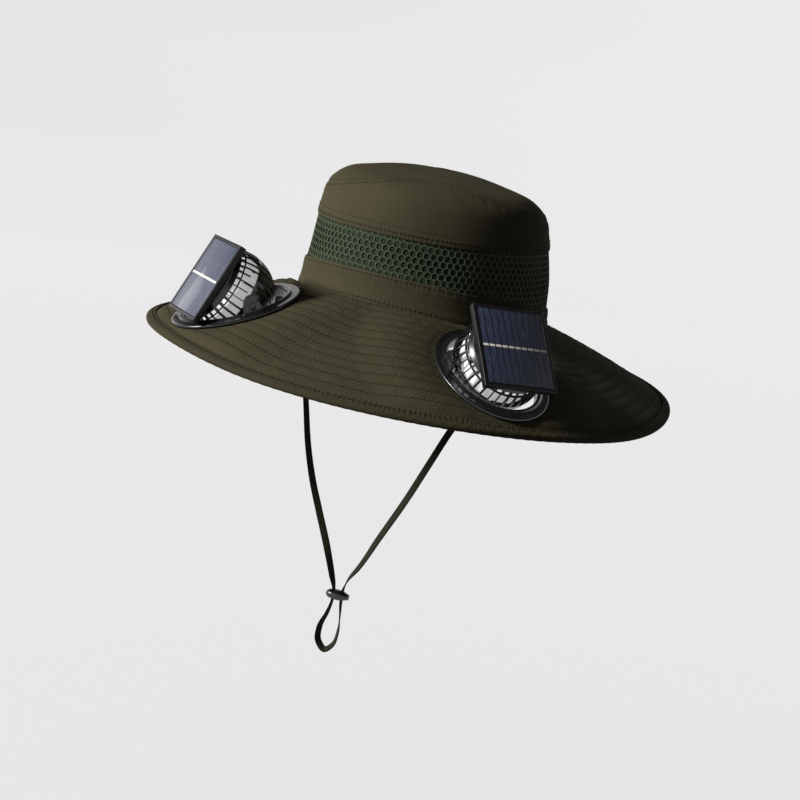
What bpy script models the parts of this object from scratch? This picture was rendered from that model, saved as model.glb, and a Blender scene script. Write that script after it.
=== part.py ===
"""Solar fan hat: a wide-brimmed cloth sun hat with a mesh band round its crown, two tilting
solar fans set through the brim, and a chin strap with a cord lock.

Lengths are metres and +Z is up. The front of the hat faces -Y and the wearer's left is +X.
The origin is the centre of the head opening, level with the seam of crown and brim. Angles
round the hat start at the front and grow towards the wearer's left.
"""

from math import cos, pi, radians, sin

import bmesh
import bpy
import numpy as np
from mathutils import Matrix, Vector

# Cloth and clearances
CLOTH = 0.002
GAP = 0.0003
SEW_GAP = 0.0004

# Head opening, inside the crown
HEAD_HALF_WIDTH = 0.098
HEAD_HALF_DEPTH = 0.104

# Crown
CROWN_HEIGHT = 0.110
TOP_TILT = 0.004
TOP_TILT_ANGLE = radians(-70)
MESH_TOP = 0.063
MESH_FOOT = 0.019
MESH_FOOT_WAVE = 0.0137
MESH_FOOT_CREST = radians(-10)
TIP_DEPTH = 0.0165
TIP_SEAM_WAVE = 0.0095
TIP_SEAM_CREST = radians(15)

# Rows of faces up each cloth band of the crown
BASE_ROWS = 2
MESH_ROWS = 2
SIDE_ROWS = 3
TIP_ROWS = 4

# Crown side, a row for each section: share of the height, share of the half width. It starts
# below zero, where the seam with the brim dips at the sides and the back
CROWN_PROFILE = (
    (-0.060, 1.010),
    (0.000, 1.000),
    (0.100, 0.983),
    (0.280, 0.962),
    (0.530, 0.922),
    (0.710, 0.886),
    (0.815, 0.838),
    (0.890, 0.740),
    (0.942, 0.550),
    (0.980, 0.300),
    (1.000, 0.000),
)

# Seam of crown and brim, a row for each wave: angle in degrees, height over crown height
SEAM_HEIGHTS = (
    (-165, -0.03),
    (-120, -0.02),
    (-75, 0.02),
    (-40, 0.08),
    (-10, 0.10),
    (15, 0.08),
    (40, 0.04),
    (90, -0.02),
    (135, -0.03),
)

# Brim
BRIM_WIDTH = 0.120
BRIM_ARCH = 0.050

# Rim of the brim, a row for each wave: angle in degrees, drop over brim width
RIM_DROPS = (
    (-160, 0.41),
    (-110, 0.37),
    (-70, 0.31),
    (-40, 0.28),
    (-10, 0.33),
    (26, 0.38),
    (51, 0.42),
    (75, 0.45),
    (110, 0.41),
    (155, 0.40),
)

# Bound edge of the brim
BINDING_WIDTH = 0.008
BINDING_WALL = 0.0011
BINDING_ROOT = 1.0 - BINDING_WIDTH / BRIM_WIDTH

# Resolution of the cloth
HAT_COLUMNS = 42
BRIM_ROWS = 7

# Base plate of a fan, an oval set on the brim
PLATE_HALF_LENGTH = 0.0500
PLATE_HALF_WIDTH = 0.0430
PLATE_THICKNESS = 0.0026
PLATE_ROUND = 0.0012
LIP_WIDTH = 0.0024
LIP_RISE = 0.0010
WINDOW_HALF_LENGTH = 0.0400
WINDOW_HALF_WIDTH = 0.0340
COLLAR_WALL = 0.0015
CLAMP_WIDTH = 0.0040
CLAMP_THICKNESS = 0.0020
PLATE_SIDES = 28
HOLE_REACH = 0.008

# Brim made flat under a plate: shares of the plate's oval where the flat ends and the brim is free
FLAT_SHARE = 1.38
FREE_SHARE = 1.90
EDGE_FADE = 0.04

# Ears and pins that the fan tilts on
PIVOT_HEIGHT = 0.0095
EAR_INSIDE = 0.0355
EAR_THICKNESS = 0.0032
EAR_HALF_WIDTH = 0.0062
EAR_TOP = 0.0088
PIN_RADIUS = 0.0020
BOSS_RADIUS = 0.0040
PIN_GAP = 0.0003
PIN_SIDES = 12
PIN_BORE_SIDES = 14

# Ball-shaped cage, about its pivot: its front end carries the panel
BALL_RADIUS = 0.0340
BALL_RISE = 0.0045
CAGE_WALL = 0.0014
CAGE_FRONT = 0.0237
NECK_RADIUS = 0.0285
NECK_DEPTH = 0.0042
VENTS = 14
VENT_SHARE = 0.80

# Rings of the cage below its neck: height over the pivot, whether a row of vents starts there
CAGE_RINGS = (
    (0.0152, True),
    (0.0040, False),
    (-0.0070, False),
    (-0.0190, False),
)

# Solar panel
PANEL_FRONT = 0.0290
PANEL_LENGTH = 0.0645
PANEL_WIDTH = 0.0570
PANEL_BORDER = 0.0026
PANEL_ROUND = 0.0008
CELL_RECESS = 0.0014
CELL_THICKNESS = 0.0009

# Motor and impeller
MOTOR_RADIUS = 0.0090
MOTOR_LENGTH = 0.0040
MOTOR_SIDES = 20
SHAFT_RADIUS = 0.0010
SHAFT_END = 0.0030
SHAFT_SIDES = 10
HUB_RADIUS = 0.0060
HUB_HEIGHT = 0.0060
HUB_FLOOR = 0.0016
BLADES = 6
BLADE_REACH = 0.0288
BLADE_CHORD = 0.0125
BLADE_THICKNESS = 0.0010
BLADE_PITCH = radians(50)

# Fans, a row for each: side, angle round the hat, place across the brim, turn on it, tilt
FANS = (
    ("left", radians(39.8), 0.500, radians(2.5), radians(22.5)),
    ("right", radians(-41.3), 0.505, radians(-2), radians(41.9)),
)

# Chin strap: a flat tape that hangs from both sides of the head opening
STRAP_WIDTH = 0.0060
STRAP_THICKNESS = 0.0010
STRAP_POINTS = 46

# Route of the strap's middle line from the wearer's right to the left: X, Z and the turn of the tape
# about its line in degrees, 0 where its broad face looks to the wearer's side
STRAP_ROUTE = (
    (-0.0957, 0.0080, 0),
    (-0.0964, 0.0020, 0),
    (-0.0968, -0.0080, 5),
    (-0.0966, -0.0400, 12),
    (-0.0927, -0.0720, 18),
    (-0.0871, -0.0980, 25),
    (-0.0791, -0.1360, 35),
    (-0.0713, -0.1620, 45),
    (-0.0613, -0.1875, 55),
    (-0.0505, -0.2140, 60),
    (-0.0412, -0.2400, 30),
    (-0.0379, -0.2500, 0),
    (-0.0377, -0.2610, 0),
    (-0.0402, -0.2720, 15),
    (-0.0455, -0.2880, 35),
    (-0.0448, -0.2995, 40),
    (-0.0382, -0.3060, 40),
    (-0.0313, -0.3000, 40),
    (-0.0284, -0.2880, 35),
    (-0.0287, -0.2730, 15),
    (-0.0297, -0.2610, 0),
    (-0.0295, -0.2500, 0),
    (-0.0265, -0.2405, 20),
    (-0.0191, -0.2280, 45),
    (-0.0051, -0.1980, 65),
    (0.0126, -0.1605, 75),
    (0.0270, -0.1265, 80),
    (0.0404, -0.0950, 80),
    (0.0600, -0.0580, 75),
    (0.0810, -0.0260, 50),
    (0.0918, -0.0105, 15),
    (0.0955, -0.0020, 0),
    (0.0963, 0.0020, 0),
    (0.0957, 0.0080, 0),
)

# Cord lock on the strap
LOCK_CENTRE = (-0.0337, 0.0, -0.2555)
LOCK_SIZE = (0.0205, 0.0110, 0.0086)
LOCK_ROUND = 0.0034
LOCK_SLOT = (0.0030, 0.0076)
LOCK_SLOT_SPACING = 0.0080

# Colours, linear, with roughness and metallic value
FINISHES = {
    "olive cloth": ((0.055, 0.052, 0.030), 0.95, 0.0),
    "green mesh": ((0.018, 0.032, 0.020), 0.90, 0.0),
    "black plastic": ((0.012, 0.012, 0.013), 0.30, 0.0),
    "white plastic": ((0.700, 0.700, 0.690), 0.40, 0.0),
    "steel": ((0.450, 0.450, 0.460), 0.35, 1.0),
    "solar cell": ((0.012, 0.016, 0.045), 0.18, 0.2),
    "dark tape": ((0.016, 0.018, 0.012), 0.92, 0.0),
}


def clear_scene():
    """Remove the objects of the opening scene."""
    for item in list(bpy.data.objects):
        bpy.data.objects.remove(item, do_unlink=True)


def collection(name):
    """A new collection linked to the scene."""
    made = bpy.data.collections.new(name)
    bpy.context.scene.collection.children.link(made)
    return made


def finish(name):
    """The Principled material of a finish, made once."""
    made = bpy.data.materials.get(name)
    if made:
        return made
    colour, roughness, metallic = FINISHES[name]
    made = bpy.data.materials.new(name)
    made.use_nodes = True
    made.diffuse_color = (*colour, 1.0)
    shader = made.node_tree.nodes["Principled BSDF"]
    shader.inputs["Base Color"].default_value = (*colour, 1.0)
    shader.inputs["Roughness"].default_value = roughness
    shader.inputs["Metallic"].default_value = metallic
    return made


def add_object(name, bm, place, finish_name, matrix=None, smooth=35):
    """Put a bmesh in the scene as one object, shaded smooth below an edge angle in degrees."""
    bmesh.ops.recalc_face_normals(bm, faces=bm.faces)
    mesh = bpy.data.meshes.new(name)
    bm.to_mesh(mesh)
    bm.free()
    mesh.shade_smooth()
    mesh.set_sharp_from_angle(angle=radians(smooth))
    made = bpy.data.objects.new(name, mesh)
    made.data.materials.append(finish(finish_name))
    if matrix is not None:
        made.matrix_world = matrix
    place.objects.link(made)
    return made


def as_tool(item):
    """Mark an object as a cutter or a joined form that isn't a piece by itself."""
    item.hide_render = True
    item.display_type = "WIRE"
    return item


def combine(target, tool, operation):
    """Cut a tool out of the target, or join it on, with an exact Boolean."""
    step = target.modifiers.new(tool.name, "BOOLEAN")
    step.operation = operation
    step.solver = "EXACT"
    step.object = as_tool(tool)


def smooth_value(knots, values, at):
    """Values read at some places from a smooth curve through knots."""
    knots, values, at = np.asarray(knots), np.asarray(values), np.asarray(at)
    slopes = np.gradient(values, knots)
    low = np.clip(np.searchsorted(knots, at) - 1, 0, len(knots) - 2)
    span = knots[low + 1] - knots[low]
    t = (at - knots[low]) / span
    start = (2 * t**3 - 3 * t**2 + 1) * values[low] + (t**3 - 2 * t**2 + t) * span * slopes[low]
    end = (3 * t**2 - 2 * t**3) * values[low + 1] + (t**3 - t**2) * span * slopes[low + 1]
    return start + end


def value_round_hat(table, angle):
    """A table's value at an angle in radians, smooth and closed round the hat."""
    angles = np.radians([row[0] for row in table])
    values = np.array([row[1] for row in table])
    knots = np.concatenate([angles - 2 * pi, angles, angles + 2 * pi])
    return smooth_value(knots, np.tile(values, 3), angle)


def fade(value):
    """A smooth step from 0 at 0 to 1 at 1."""
    t = np.clip(value, 0.0, 1.0)
    return t * t * (3 - 2 * t)


def hat_angles():
    """Angles of the columns of vertices round the hat."""
    return np.arange(HAT_COLUMNS) * 2 * pi / HAT_COLUMNS


def crown_curve():
    """The crown's side line: length along it, height and half-width share, closely spaced."""
    table = np.array(CROWN_PROFILE)
    metres = table * (CROWN_HEIGHT, HEAD_HALF_WIDTH + CLOTH)
    knots = np.concatenate([[0.0], np.cumsum(np.hypot(*np.diff(metres, axis=0).T))])
    dense = np.linspace(0.0, knots[-1], 400)
    heights = smooth_value(knots, metres[:, 0], dense)
    return dense, np.maximum.accumulate(heights), smooth_value(knots, table[:, 1], dense)


CURVE_LENGTHS, CURVE_HEIGHTS, CURVE_WIDTHS = crown_curve()


def length_at_height(height):
    """Distance up the crown's side at which it reaches a height."""
    return np.interp(height, CURVE_HEIGHTS, CURVE_LENGTHS)


def crown_surface(angle, length):
    """Outer surface of the crown at angles and at lengths up its side."""
    height = np.interp(length, CURVE_LENGTHS, CURVE_HEIGHTS)
    share = np.interp(length, CURVE_LENGTHS, CURVE_WIDTHS)
    lean = TOP_TILT * share * (height / CROWN_HEIGHT) ** 2 * np.cos(angle - TOP_TILT_ANGLE)
    x = (HEAD_HALF_WIDTH + CLOTH) * share * np.sin(angle)
    y = -(HEAD_HALF_DEPTH + CLOTH) * share * np.cos(angle)
    return np.stack([x, y, height + lean], axis=-1)


def seam_height(angle):
    """Height of the seam of crown and brim."""
    return CROWN_HEIGHT * value_round_hat(SEAM_HEIGHTS, angle)


def free_brim(angle, share):
    """Middle surface of the brim before the fans flatten it, by share of its width."""
    start_x = (HEAD_HALF_WIDTH + CLOTH / 2) * np.sin(angle)
    start_y = -(HEAD_HALF_DEPTH + CLOTH / 2) * np.cos(angle)
    drop = BRIM_WIDTH * value_round_hat(RIM_DROPS, angle)
    reach = np.sqrt(BRIM_WIDTH**2 - drop**2) * share
    arch = share - BRIM_ARCH * np.sin(pi * share)
    rim = -drop - seam_height(angle)
    height = seam_height(angle) + rim * arch
    return np.stack([start_x + reach * np.sin(angle), start_y - reach * np.cos(angle), height], axis=-1)


def fan_frame(angle, share, turn):
    """Frame of a fan on the brim: X is its tilt axis, Y points to the crown, Z is off the brim."""
    step = 1e-4
    angle = np.float64(angle)
    centre = Vector(free_brim(angle, share))
    inward = Vector(free_brim(angle, share - step)) - centre
    along = Vector(free_brim(angle + step, share)) - centre
    up = along.cross(inward).normalized()
    inward = (inward - up * inward.dot(up)).normalized()
    frame = Matrix((inward.cross(up), inward, up)).transposed().to_4x4()
    return Matrix.Translation(centre) @ frame @ Matrix.Rotation(turn, 4, "Z")


def brim_surface(angle, share):
    """Middle surface of the brim, flat under the plates of the fans."""
    points = free_brim(angle, share)
    edge = fade(share / EDGE_FADE) * fade((BINDING_ROOT - share) / EDGE_FADE)
    for _, fan_angle, fan_share, turn, _ in FANS:
        frame = np.array(fan_frame(fan_angle, fan_share, turn))
        local = (points - frame[:3, 3]) @ frame[:3, :3]
        oval = np.hypot(local[..., 1] / PLATE_HALF_LENGTH, local[..., 0] / PLATE_HALF_WIDTH)
        weight = edge * fade((FREE_SHARE - oval) / (FREE_SHARE - FLAT_SHARE))
        points = points - (weight * local[..., 2])[..., None] * frame[:3, 2]
    return points


def offset_surface(surface, angle, across, distance):
    """Points of a surface moved along its normal, outwards and up for a positive distance."""
    step = 1e-5
    near, far = surface(angle - step, across), surface(angle + step, across)
    low, high = surface(angle, across - step), surface(angle, across + step)
    normal = np.cross(far - near, high - low)
    normal /= np.linalg.norm(normal, axis=-1, keepdims=True)
    return surface(angle, across) + normal * distance


def loft(name, rings, place, finish_name, matrix=None, closed=True, smooth=35):
    """Skin over rings of points; an open loft is closed with a pole beyond each end ring."""
    bm = bmesh.new()
    rows = [[bm.verts.new(point) for point in ring] for ring in rings]
    pairs = list(zip(rows, rows[1:]))
    if closed:
        pairs.append((rows[-1], rows[0]))
    for low, high in pairs:
        if len(low) == 1 or len(high) == 1:
            pole, ring = (low, high) if len(low) == 1 else (high, low)
            for here, after in zip(ring, ring[1:] + ring[:1]):
                bm.faces.new((pole[0], here, after))
            continue
        for corner in zip(low, low[1:] + low[:1], high[1:] + high[:1], high):
            bm.faces.new(corner)
    return add_object(name, bm, place, finish_name, matrix, smooth)


def crown_band(name, low, high, rows, place, finish_name):
    """A cloth band of the crown between two edges, given as lengths up its side by column."""
    angle = hat_angles()
    shares = np.linspace(0.0, 1.0, rows + 1)
    lengths = [low + (high - low) * share for share in shares]
    outer = [crown_surface(angle, length) for length in lengths]
    inner = [offset_surface(crown_surface, angle, length, -CLOTH) for length in reversed(lengths)]
    return loft(name, outer + inner, place, finish_name)


def crown(place):
    """The crown: a base band, the mesh band, the upper side and the tip."""
    angle = hat_angles()
    level = np.ones(HAT_COLUMNS)
    foot = length_at_height(seam_height(angle) + CLOTH / 2 + GAP)
    mesh_foot = length_at_height(MESH_FOOT + MESH_FOOT_WAVE * np.cos(angle - MESH_FOOT_CREST))
    mesh_top = length_at_height(MESH_TOP * level)
    tip_height = CROWN_HEIGHT - TIP_DEPTH + TIP_SEAM_WAVE * np.cos(2 * (angle - TIP_SEAM_CREST))
    tip_seam = length_at_height(tip_height)
    half = SEW_GAP / 2
    crown_band("crown_base_band", foot, mesh_foot - half, BASE_ROWS, place, "olive cloth")
    crown_band("mesh_band", mesh_foot + half, mesh_top - half, MESH_ROWS, place, "green mesh")
    crown_band("crown_side", mesh_top + half, tip_seam - half, SIDE_ROWS, place, "olive cloth")
    crown_tip(tip_seam + half, TIP_ROWS, place)


def crown_tip(seam, rows, place):
    """The cloth top of the crown, a cap inside its seam."""
    angle = hat_angles()
    shares = np.linspace(0.0, 1.0, rows + 1)[:-1]
    lengths = [seam + (CURVE_LENGTHS[-1] - seam) * share for share in shares]
    outer = [crown_surface(angle, length) for length in lengths]
    inner = [offset_surface(crown_surface, angle, length, -CLOTH) for length in lengths]
    top = [[(0.0, 0.0, CROWN_HEIGHT)]]
    under = [[(0.0, 0.0, CROWN_HEIGHT - CLOTH)]]
    loft("crown_tip", top + outer[::-1] + inner + under, place, "olive cloth", closed=False)


def brim(place, tools):
    """The brim, with an opening for the collar of each fan."""
    angle = hat_angles()
    edge = 1.0 - (BINDING_WALL + GAP) / BRIM_WIDTH
    inner = np.linspace(EDGE_FADE, BINDING_ROOT - EDGE_FADE, BRIM_ROWS)
    shares = np.concatenate([[0.0], inner, [BINDING_ROOT, edge]])
    level = np.ones(HAT_COLUMNS)
    above = [offset_surface(brim_surface, angle, share * level, CLOTH / 2) for share in shares]
    below = [offset_surface(brim_surface, angle, share * level, -CLOTH / 2) for share in shares]
    made = loft("brim", above + below[::-1], place, "olive cloth")
    for side, fan_angle, share, turn, _ in FANS:
        frame = fan_frame(fan_angle, share, turn)
        spare = COLLAR_WALL + GAP
        hole = oval_prism(f"collar_hole_{side}", spare, -HOLE_REACH, HOLE_REACH, tools, frame)
        combine(made, hole, "DIFFERENCE")


def brim_binding(place):
    """The folded tape that binds the rim of the brim, a channel open towards the crown."""
    angle = hat_angles()
    level = np.ones(HAT_COLUMNS)
    outside = CLOTH / 2 + GAP + BINDING_WALL
    inside = CLOTH / 2 + GAP
    root = BINDING_ROOT
    floor = 1.0 - BINDING_WALL / BRIM_WIDTH
    section = (
        (root, outside),
        (floor, outside),
        (1.0, 0.0),
        (floor, -outside),
        (root, -outside),
        (root, -inside),
        (floor, -inside),
        (floor, inside),
        (root, inside),
    )
    rings = [offset_surface(brim_surface, angle, share * level, height) for share, height in section]
    loft("brim_binding", rings, place, "olive cloth")


def oval(half_length, half_width, height):
    """Points of an oval that is long along Y."""
    turns = [2 * pi * side / PLATE_SIDES for side in range(PLATE_SIDES)]
    return [(half_width * cos(turn), half_length * sin(turn), height) for turn in turns]


def window_oval(spare, height):
    """The oval of a plate's window, grown by some spare."""
    return oval(WINDOW_HALF_LENGTH + spare, WINDOW_HALF_WIDTH + spare, height)


def oval_prism(name, spare, low, high, place, matrix):
    """A solid oval prism round the window's oval."""
    bm = bmesh.new()
    bmesh.ops.create_cone(bm, cap_ends=True, segments=PLATE_SIDES, radius1=1.0, radius2=1.0, depth=1.0)
    size = (WINDOW_HALF_WIDTH + spare, WINDOW_HALF_LENGTH + spare, high - low)
    bmesh.ops.scale(bm, vec=size, verts=bm.verts)
    bmesh.ops.translate(bm, vec=(0.0, 0.0, (high + low) / 2), verts=bm.verts)
    return add_object(name, bm, place, "olive cloth", matrix)


def cylinder(name, radius, low, high, sides, place, finish_name, matrix):
    """A capped cylinder along Z between two heights."""
    bm = bmesh.new()
    depth = high - low
    bmesh.ops.create_cone(bm, cap_ends=True, segments=sides, radius1=radius, radius2=radius, depth=depth)
    bmesh.ops.translate(bm, vec=(0.0, 0.0, (high + low) / 2), verts=bm.verts)
    return add_object(name, bm, place, finish_name, matrix)


def box(name, size, centre, place, finish_name, matrix):
    """A plain box."""
    bm = bmesh.new()
    bmesh.ops.create_cube(bm, size=1.0)
    bmesh.ops.scale(bm, vec=size, verts=bm.verts)
    bmesh.ops.translate(bm, vec=centre, verts=bm.verts)
    return add_object(name, bm, place, finish_name, matrix)


def tilt_axis_frame(frame, height):
    """A frame whose Z runs along a fan's tilt axis."""
    return frame @ Matrix.Translation((0.0, 0.0, height)) @ Matrix.Rotation(pi / 2, 4, "Y")


def ear(name, side, foot, place, frame):
    """One ear of the base plate: a tab with a round top, on the plate's long edge."""
    bm = bmesh.new()
    bmesh.ops.create_cube(bm, size=1.0)
    top = PIVOT_HEIGHT + EAR_TOP
    size = (EAR_THICKNESS, 2 * EAR_HALF_WIDTH, top - foot)
    bmesh.ops.scale(bm, vec=size, verts=bm.verts)
    centre = (side * (EAR_INSIDE + EAR_THICKNESS / 2), 0.0, (top + foot) / 2)
    bmesh.ops.translate(bm, vec=centre, verts=bm.verts)
    crest = [e for e in bm.edges if all(v.co.z > top - GAP for v in e.verts) and edge_runs_across(e)]
    bmesh.ops.bevel(bm, geom=crest, offset=EAR_HALF_WIDTH * 0.92, segments=5, profile=0.5, affect="EDGES")
    return add_object(name, bm, place, "black plastic", frame)


def edge_runs_across(edge):
    """Whether an edge runs along X."""
    return abs(edge.verts[0].co.x - edge.verts[1].co.x) > EAR_THICKNESS / 2


def base_plate(side, frame, place, tools):
    """The oval plate on the brim, with the collar through it and two ears for the pins."""
    low = CLOTH / 2 + GAP
    top = low + PLATE_THICKNESS
    foot = -(CLOTH / 2 + GAP + CLAMP_THICKNESS)
    length, width = PLATE_HALF_LENGTH, PLATE_HALF_WIDTH
    rings = (
        oval(length - PLATE_ROUND / 2, width - PLATE_ROUND / 2, low),
        oval(length, width, low + PLATE_ROUND),
        oval(length - PLATE_ROUND, width - PLATE_ROUND, top),
        window_oval(LIP_WIDTH, top + LIP_RISE),
        window_oval(0.0, top + LIP_RISE / 2),
        window_oval(0.0, foot),
        window_oval(COLLAR_WALL, foot),
        window_oval(COLLAR_WALL, low),
    )
    made = loft(f"fan_base_{side}", rings, place, "black plastic", frame)
    for end, sign in (("a", -1), ("b", 1)):
        combine(made, ear(f"ear_{end}_{side}", sign, top - PLATE_ROUND, tools, frame), "UNION")
    axis = tilt_axis_frame(frame, PIVOT_HEIGHT)
    reach = PLATE_HALF_WIDTH + EAR_THICKNESS
    radius = PIN_RADIUS + PIN_GAP
    bore = cylinder(f"ear_bore_{side}", radius, -reach, reach, PIN_BORE_SIDES, tools, "steel", axis)
    combine(made, bore, "DIFFERENCE")


def clamp_ring(side, frame, place):
    """The ring under the brim that holds the base plate's collar."""
    high = -(CLOTH / 2 + GAP)
    low = high - CLAMP_THICKNESS
    near = COLLAR_WALL + GAP
    far = near + CLAMP_WIDTH
    rings = (window_oval(near, low), window_oval(far, low), window_oval(far, high), window_oval(near, high))
    loft(f"clamp_ring_{side}", rings, place, "black plastic", frame)


def ball_radius_at(height):
    """Outer radius of the ball-shaped cage at a height over its pivot."""
    return np.sqrt(max(BALL_RADIUS**2 - (height - BALL_RISE) ** 2, 0.0))


def cage_rows():
    """Rows of the cage from its neck to its pole: height, radius, whether vents start there."""
    neck_foot = CAGE_FRONT - NECK_DEPTH
    neck_slope = (ball_radius_at(neck_foot) - NECK_RADIUS) / NECK_DEPTH
    bar = NECK_DEPTH / 4
    row = [(CAGE_FRONT, NECK_RADIUS, False)]
    row.append((CAGE_FRONT - bar, NECK_RADIUS + neck_slope * bar, True))
    row.append((neck_foot + bar, ball_radius_at(neck_foot) - neck_slope * bar, False))
    row.append((neck_foot, ball_radius_at(neck_foot), False))
    for height, vent in CAGE_RINGS:
        row.append((height, ball_radius_at(height), vent))
    return row


def cage(side, frame, place, tools):
    """The ball-shaped cage with its rows of vents and two pins, an open surface with a wall."""
    rows = cage_rows()
    step = 2 * pi / VENTS
    turns = [step * vent + part * step for vent in range(VENTS) for part in (0.0, VENT_SHARE)]
    bm = bmesh.new()
    rings = []
    for height, radius, _ in rows:
        rings.append([bm.verts.new((radius * cos(t), radius * sin(t), height)) for t in turns])
    pole = bm.verts.new((0.0, 0.0, BALL_RISE - BALL_RADIUS))
    for (_, _, vent), low, high in zip(rows, rings, rings[1:]):
        for column in range(2 * VENTS):
            after = (column + 1) % (2 * VENTS)
            if vent and column % 2 == 0:
                continue
            bm.faces.new((low[column], high[column], high[after], low[after]))
    for column, here in enumerate(rings[-1]):
        bm.faces.new((here, pole, rings[-1][(column + 1) % (2 * VENTS)]))
    made = add_object(f"fan_cage_{side}", bm, place, "black plastic", frame)
    wall = made.modifiers.new("wall", "SOLIDIFY")
    wall.thickness = CAGE_WALL
    wall.offset = -1.0
    wall.use_even_offset = True
    axis = tilt_axis_frame(frame, 0.0)
    root = ball_radius_at(0.0) - CAGE_WALL * 0.6
    tip = EAR_INSIDE + EAR_THICKNESS
    collar = EAR_INSIDE - GAP
    for end, sign in (("a", -1), ("b", 1)):
        for part, radius, reach in (("boss", BOSS_RADIUS, collar), ("pin", PIN_RADIUS, tip)):
            low, high = sorted((sign * root, sign * reach))
            name = f"{part}_{end}_{side}"
            form = cylinder(name, radius, low, high, PIN_SIDES, tools, "black plastic", axis)
            combine(made, form, "UNION")


def panel(side, frame, place, tools):
    """The solar panel: a frame with a shallow recess, and the cell plate in it."""
    low = CAGE_FRONT + GAP
    depth = PANEL_FRONT - low
    size = (PANEL_WIDTH, PANEL_LENGTH, depth)
    made = box(f"panel_frame_{side}", size, (0.0, 0.0, low + depth / 2), place, "black plastic", frame)
    edges = made.modifiers.new("edges", "BEVEL")
    edges.width = PANEL_ROUND
    edges.segments = 2
    inner = (PANEL_WIDTH - 2 * PANEL_BORDER, PANEL_LENGTH - 2 * PANEL_BORDER, 2 * CELL_RECESS)
    recess = box(f"cell_recess_{side}", inner, (0.0, 0.0, PANEL_FRONT), tools, "black plastic", frame)
    combine(made, recess, "DIFFERENCE")
    plate = (inner[0] - 2 * GAP, inner[1] - 2 * GAP, CELL_THICKNESS)
    height = PANEL_FRONT - CELL_RECESS + GAP + CELL_THICKNESS / 2
    box(f"solar_cell_{side}", plate, (0.0, 0.0, height), place, "solar cell", frame)


def motor(side, frame, place, tools):
    """The flat motor under the panel, with the shaft that carries the impeller."""
    high = CAGE_FRONT
    low = high - MOTOR_LENGTH
    made = cylinder(f"motor_{side}", MOTOR_RADIUS, low, high, MOTOR_SIDES, place, "steel", frame)
    end = low + GAP
    shaft = cylinder(f"shaft_{side}", SHAFT_RADIUS, SHAFT_END, end, SHAFT_SIDES, tools, "steel", frame)
    combine(made, shaft, "UNION")


def impeller(side, frame, place, tools):
    """The impeller: a hub with a blind bore on the shaft, and pitched blades."""
    low = SHAFT_END - GAP - HUB_FLOOR
    high = low + HUB_HEIGHT
    made = cylinder(f"impeller_{side}", HUB_RADIUS, low, high, MOTOR_SIDES, place, "white plastic", frame)
    root = HUB_RADIUS / 2
    middle = (root + BLADE_REACH) / 2
    for number in range(BLADES):
        turned = frame @ Matrix.Rotation(2 * pi * number / BLADES, 4, "Z")
        pitched = turned @ Matrix.Translation((middle, 0.0, (low + high) / 2))
        pitched = pitched @ Matrix.Rotation(BLADE_PITCH, 4, "X")
        size = (BLADE_REACH - root, BLADE_CHORD, BLADE_THICKNESS)
        blade = box(f"blade_{number}_{side}", size, (0.0, 0.0, 0.0), tools, "white plastic", pitched)
        combine(made, blade, "UNION")
    radius = SHAFT_RADIUS + GAP
    ends = (SHAFT_END - GAP, high + GAP)
    bore = cylinder(f"hub_bore_{side}", radius, *ends, SHAFT_SIDES, tools, "steel", frame)
    combine(made, bore, "DIFFERENCE")


def fan(side, angle, share, turn, tilt, place, tools):
    """One solar fan set through the brim, tilted about its pins."""
    frame = fan_frame(angle, share, turn)
    base_plate(side, frame, place, tools)
    clamp_ring(side, frame, place)
    tilted = frame @ Matrix.Translation((0.0, 0.0, PIVOT_HEIGHT)) @ Matrix.Rotation(tilt, 4, "X")
    cage(side, tilted, place, tools)
    panel(side, tilted, place, tools)
    motor(side, tilted, place, tools)
    impeller(side, tilted, place, tools)


def strap_line():
    """Points of the strap's middle line, evenly spaced on a smooth curve, each with its turn."""
    route = np.array(STRAP_ROUTE)
    knots = np.concatenate([[0.0], np.cumsum(np.hypot(*np.diff(route[:, :2], axis=0).T))])
    at = np.linspace(0.0, knots[-1], STRAP_POINTS)
    x, z = smooth_value(knots, route[:, 0], at), smooth_value(knots, route[:, 1], at)
    return list(zip(x, z, np.radians(np.interp(at, knots, route[:, 2]))))


def chin_strap(place):
    """The strap: a flat woven tape, as a curve with an extruded round-edged section."""
    curve = bpy.data.curves.new("chin_strap", "CURVE")
    curve.dimensions = "3D"
    curve.twist_mode = "MINIMUM"
    curve.extrude = STRAP_WIDTH / 2 - STRAP_THICKNESS / 2
    curve.bevel_depth = STRAP_THICKNESS / 2
    curve.bevel_resolution = 2
    curve.use_fill_caps = True
    line = strap_line()
    spline = curve.splines.new("POLY")
    spline.points.add(len(line) - 1)
    for point, (x, z, turn) in zip(spline.points, line):
        point.co = (x, 0.0, z, 1.0)
        point.tilt = pi / 2 + turn
    made = bpy.data.objects.new("chin_strap", curve)
    made.data.materials.append(finish("dark tape"))
    place.objects.link(made)


def cord_lock(place, tools):
    """The cord lock: a rounded bead with a slot for each strand of the strap."""
    at = Matrix.Translation(LOCK_CENTRE)
    made = box("cord_lock", LOCK_SIZE, (0.0, 0.0, 0.0), place, "black plastic", at)
    edges = made.modifiers.new("edges", "BEVEL")
    edges.width = LOCK_ROUND
    edges.segments = 3
    for end, sign in (("a", -1), ("b", 1)):
        size = (*LOCK_SLOT, 2 * LOCK_SIZE[2])
        centre = (sign * LOCK_SLOT_SPACING / 2, 0.0, 0.0)
        slot = box(f"lock_slot_{end}", size, centre, tools, "black plastic", at)
        combine(made, slot, "DIFFERENCE")


def main():
    """Build the hat."""
    clear_scene()
    place = collection("solar_fan_hat")
    tools = collection("cutters")
    crown(place)
    brim(place, tools)
    brim_binding(place)
    for side, angle, share, turn, tilt in FANS:
        fan(side, angle, share, turn, tilt, place, tools)
    chin_strap(place)
    cord_lock(place, tools)


main()
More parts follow.
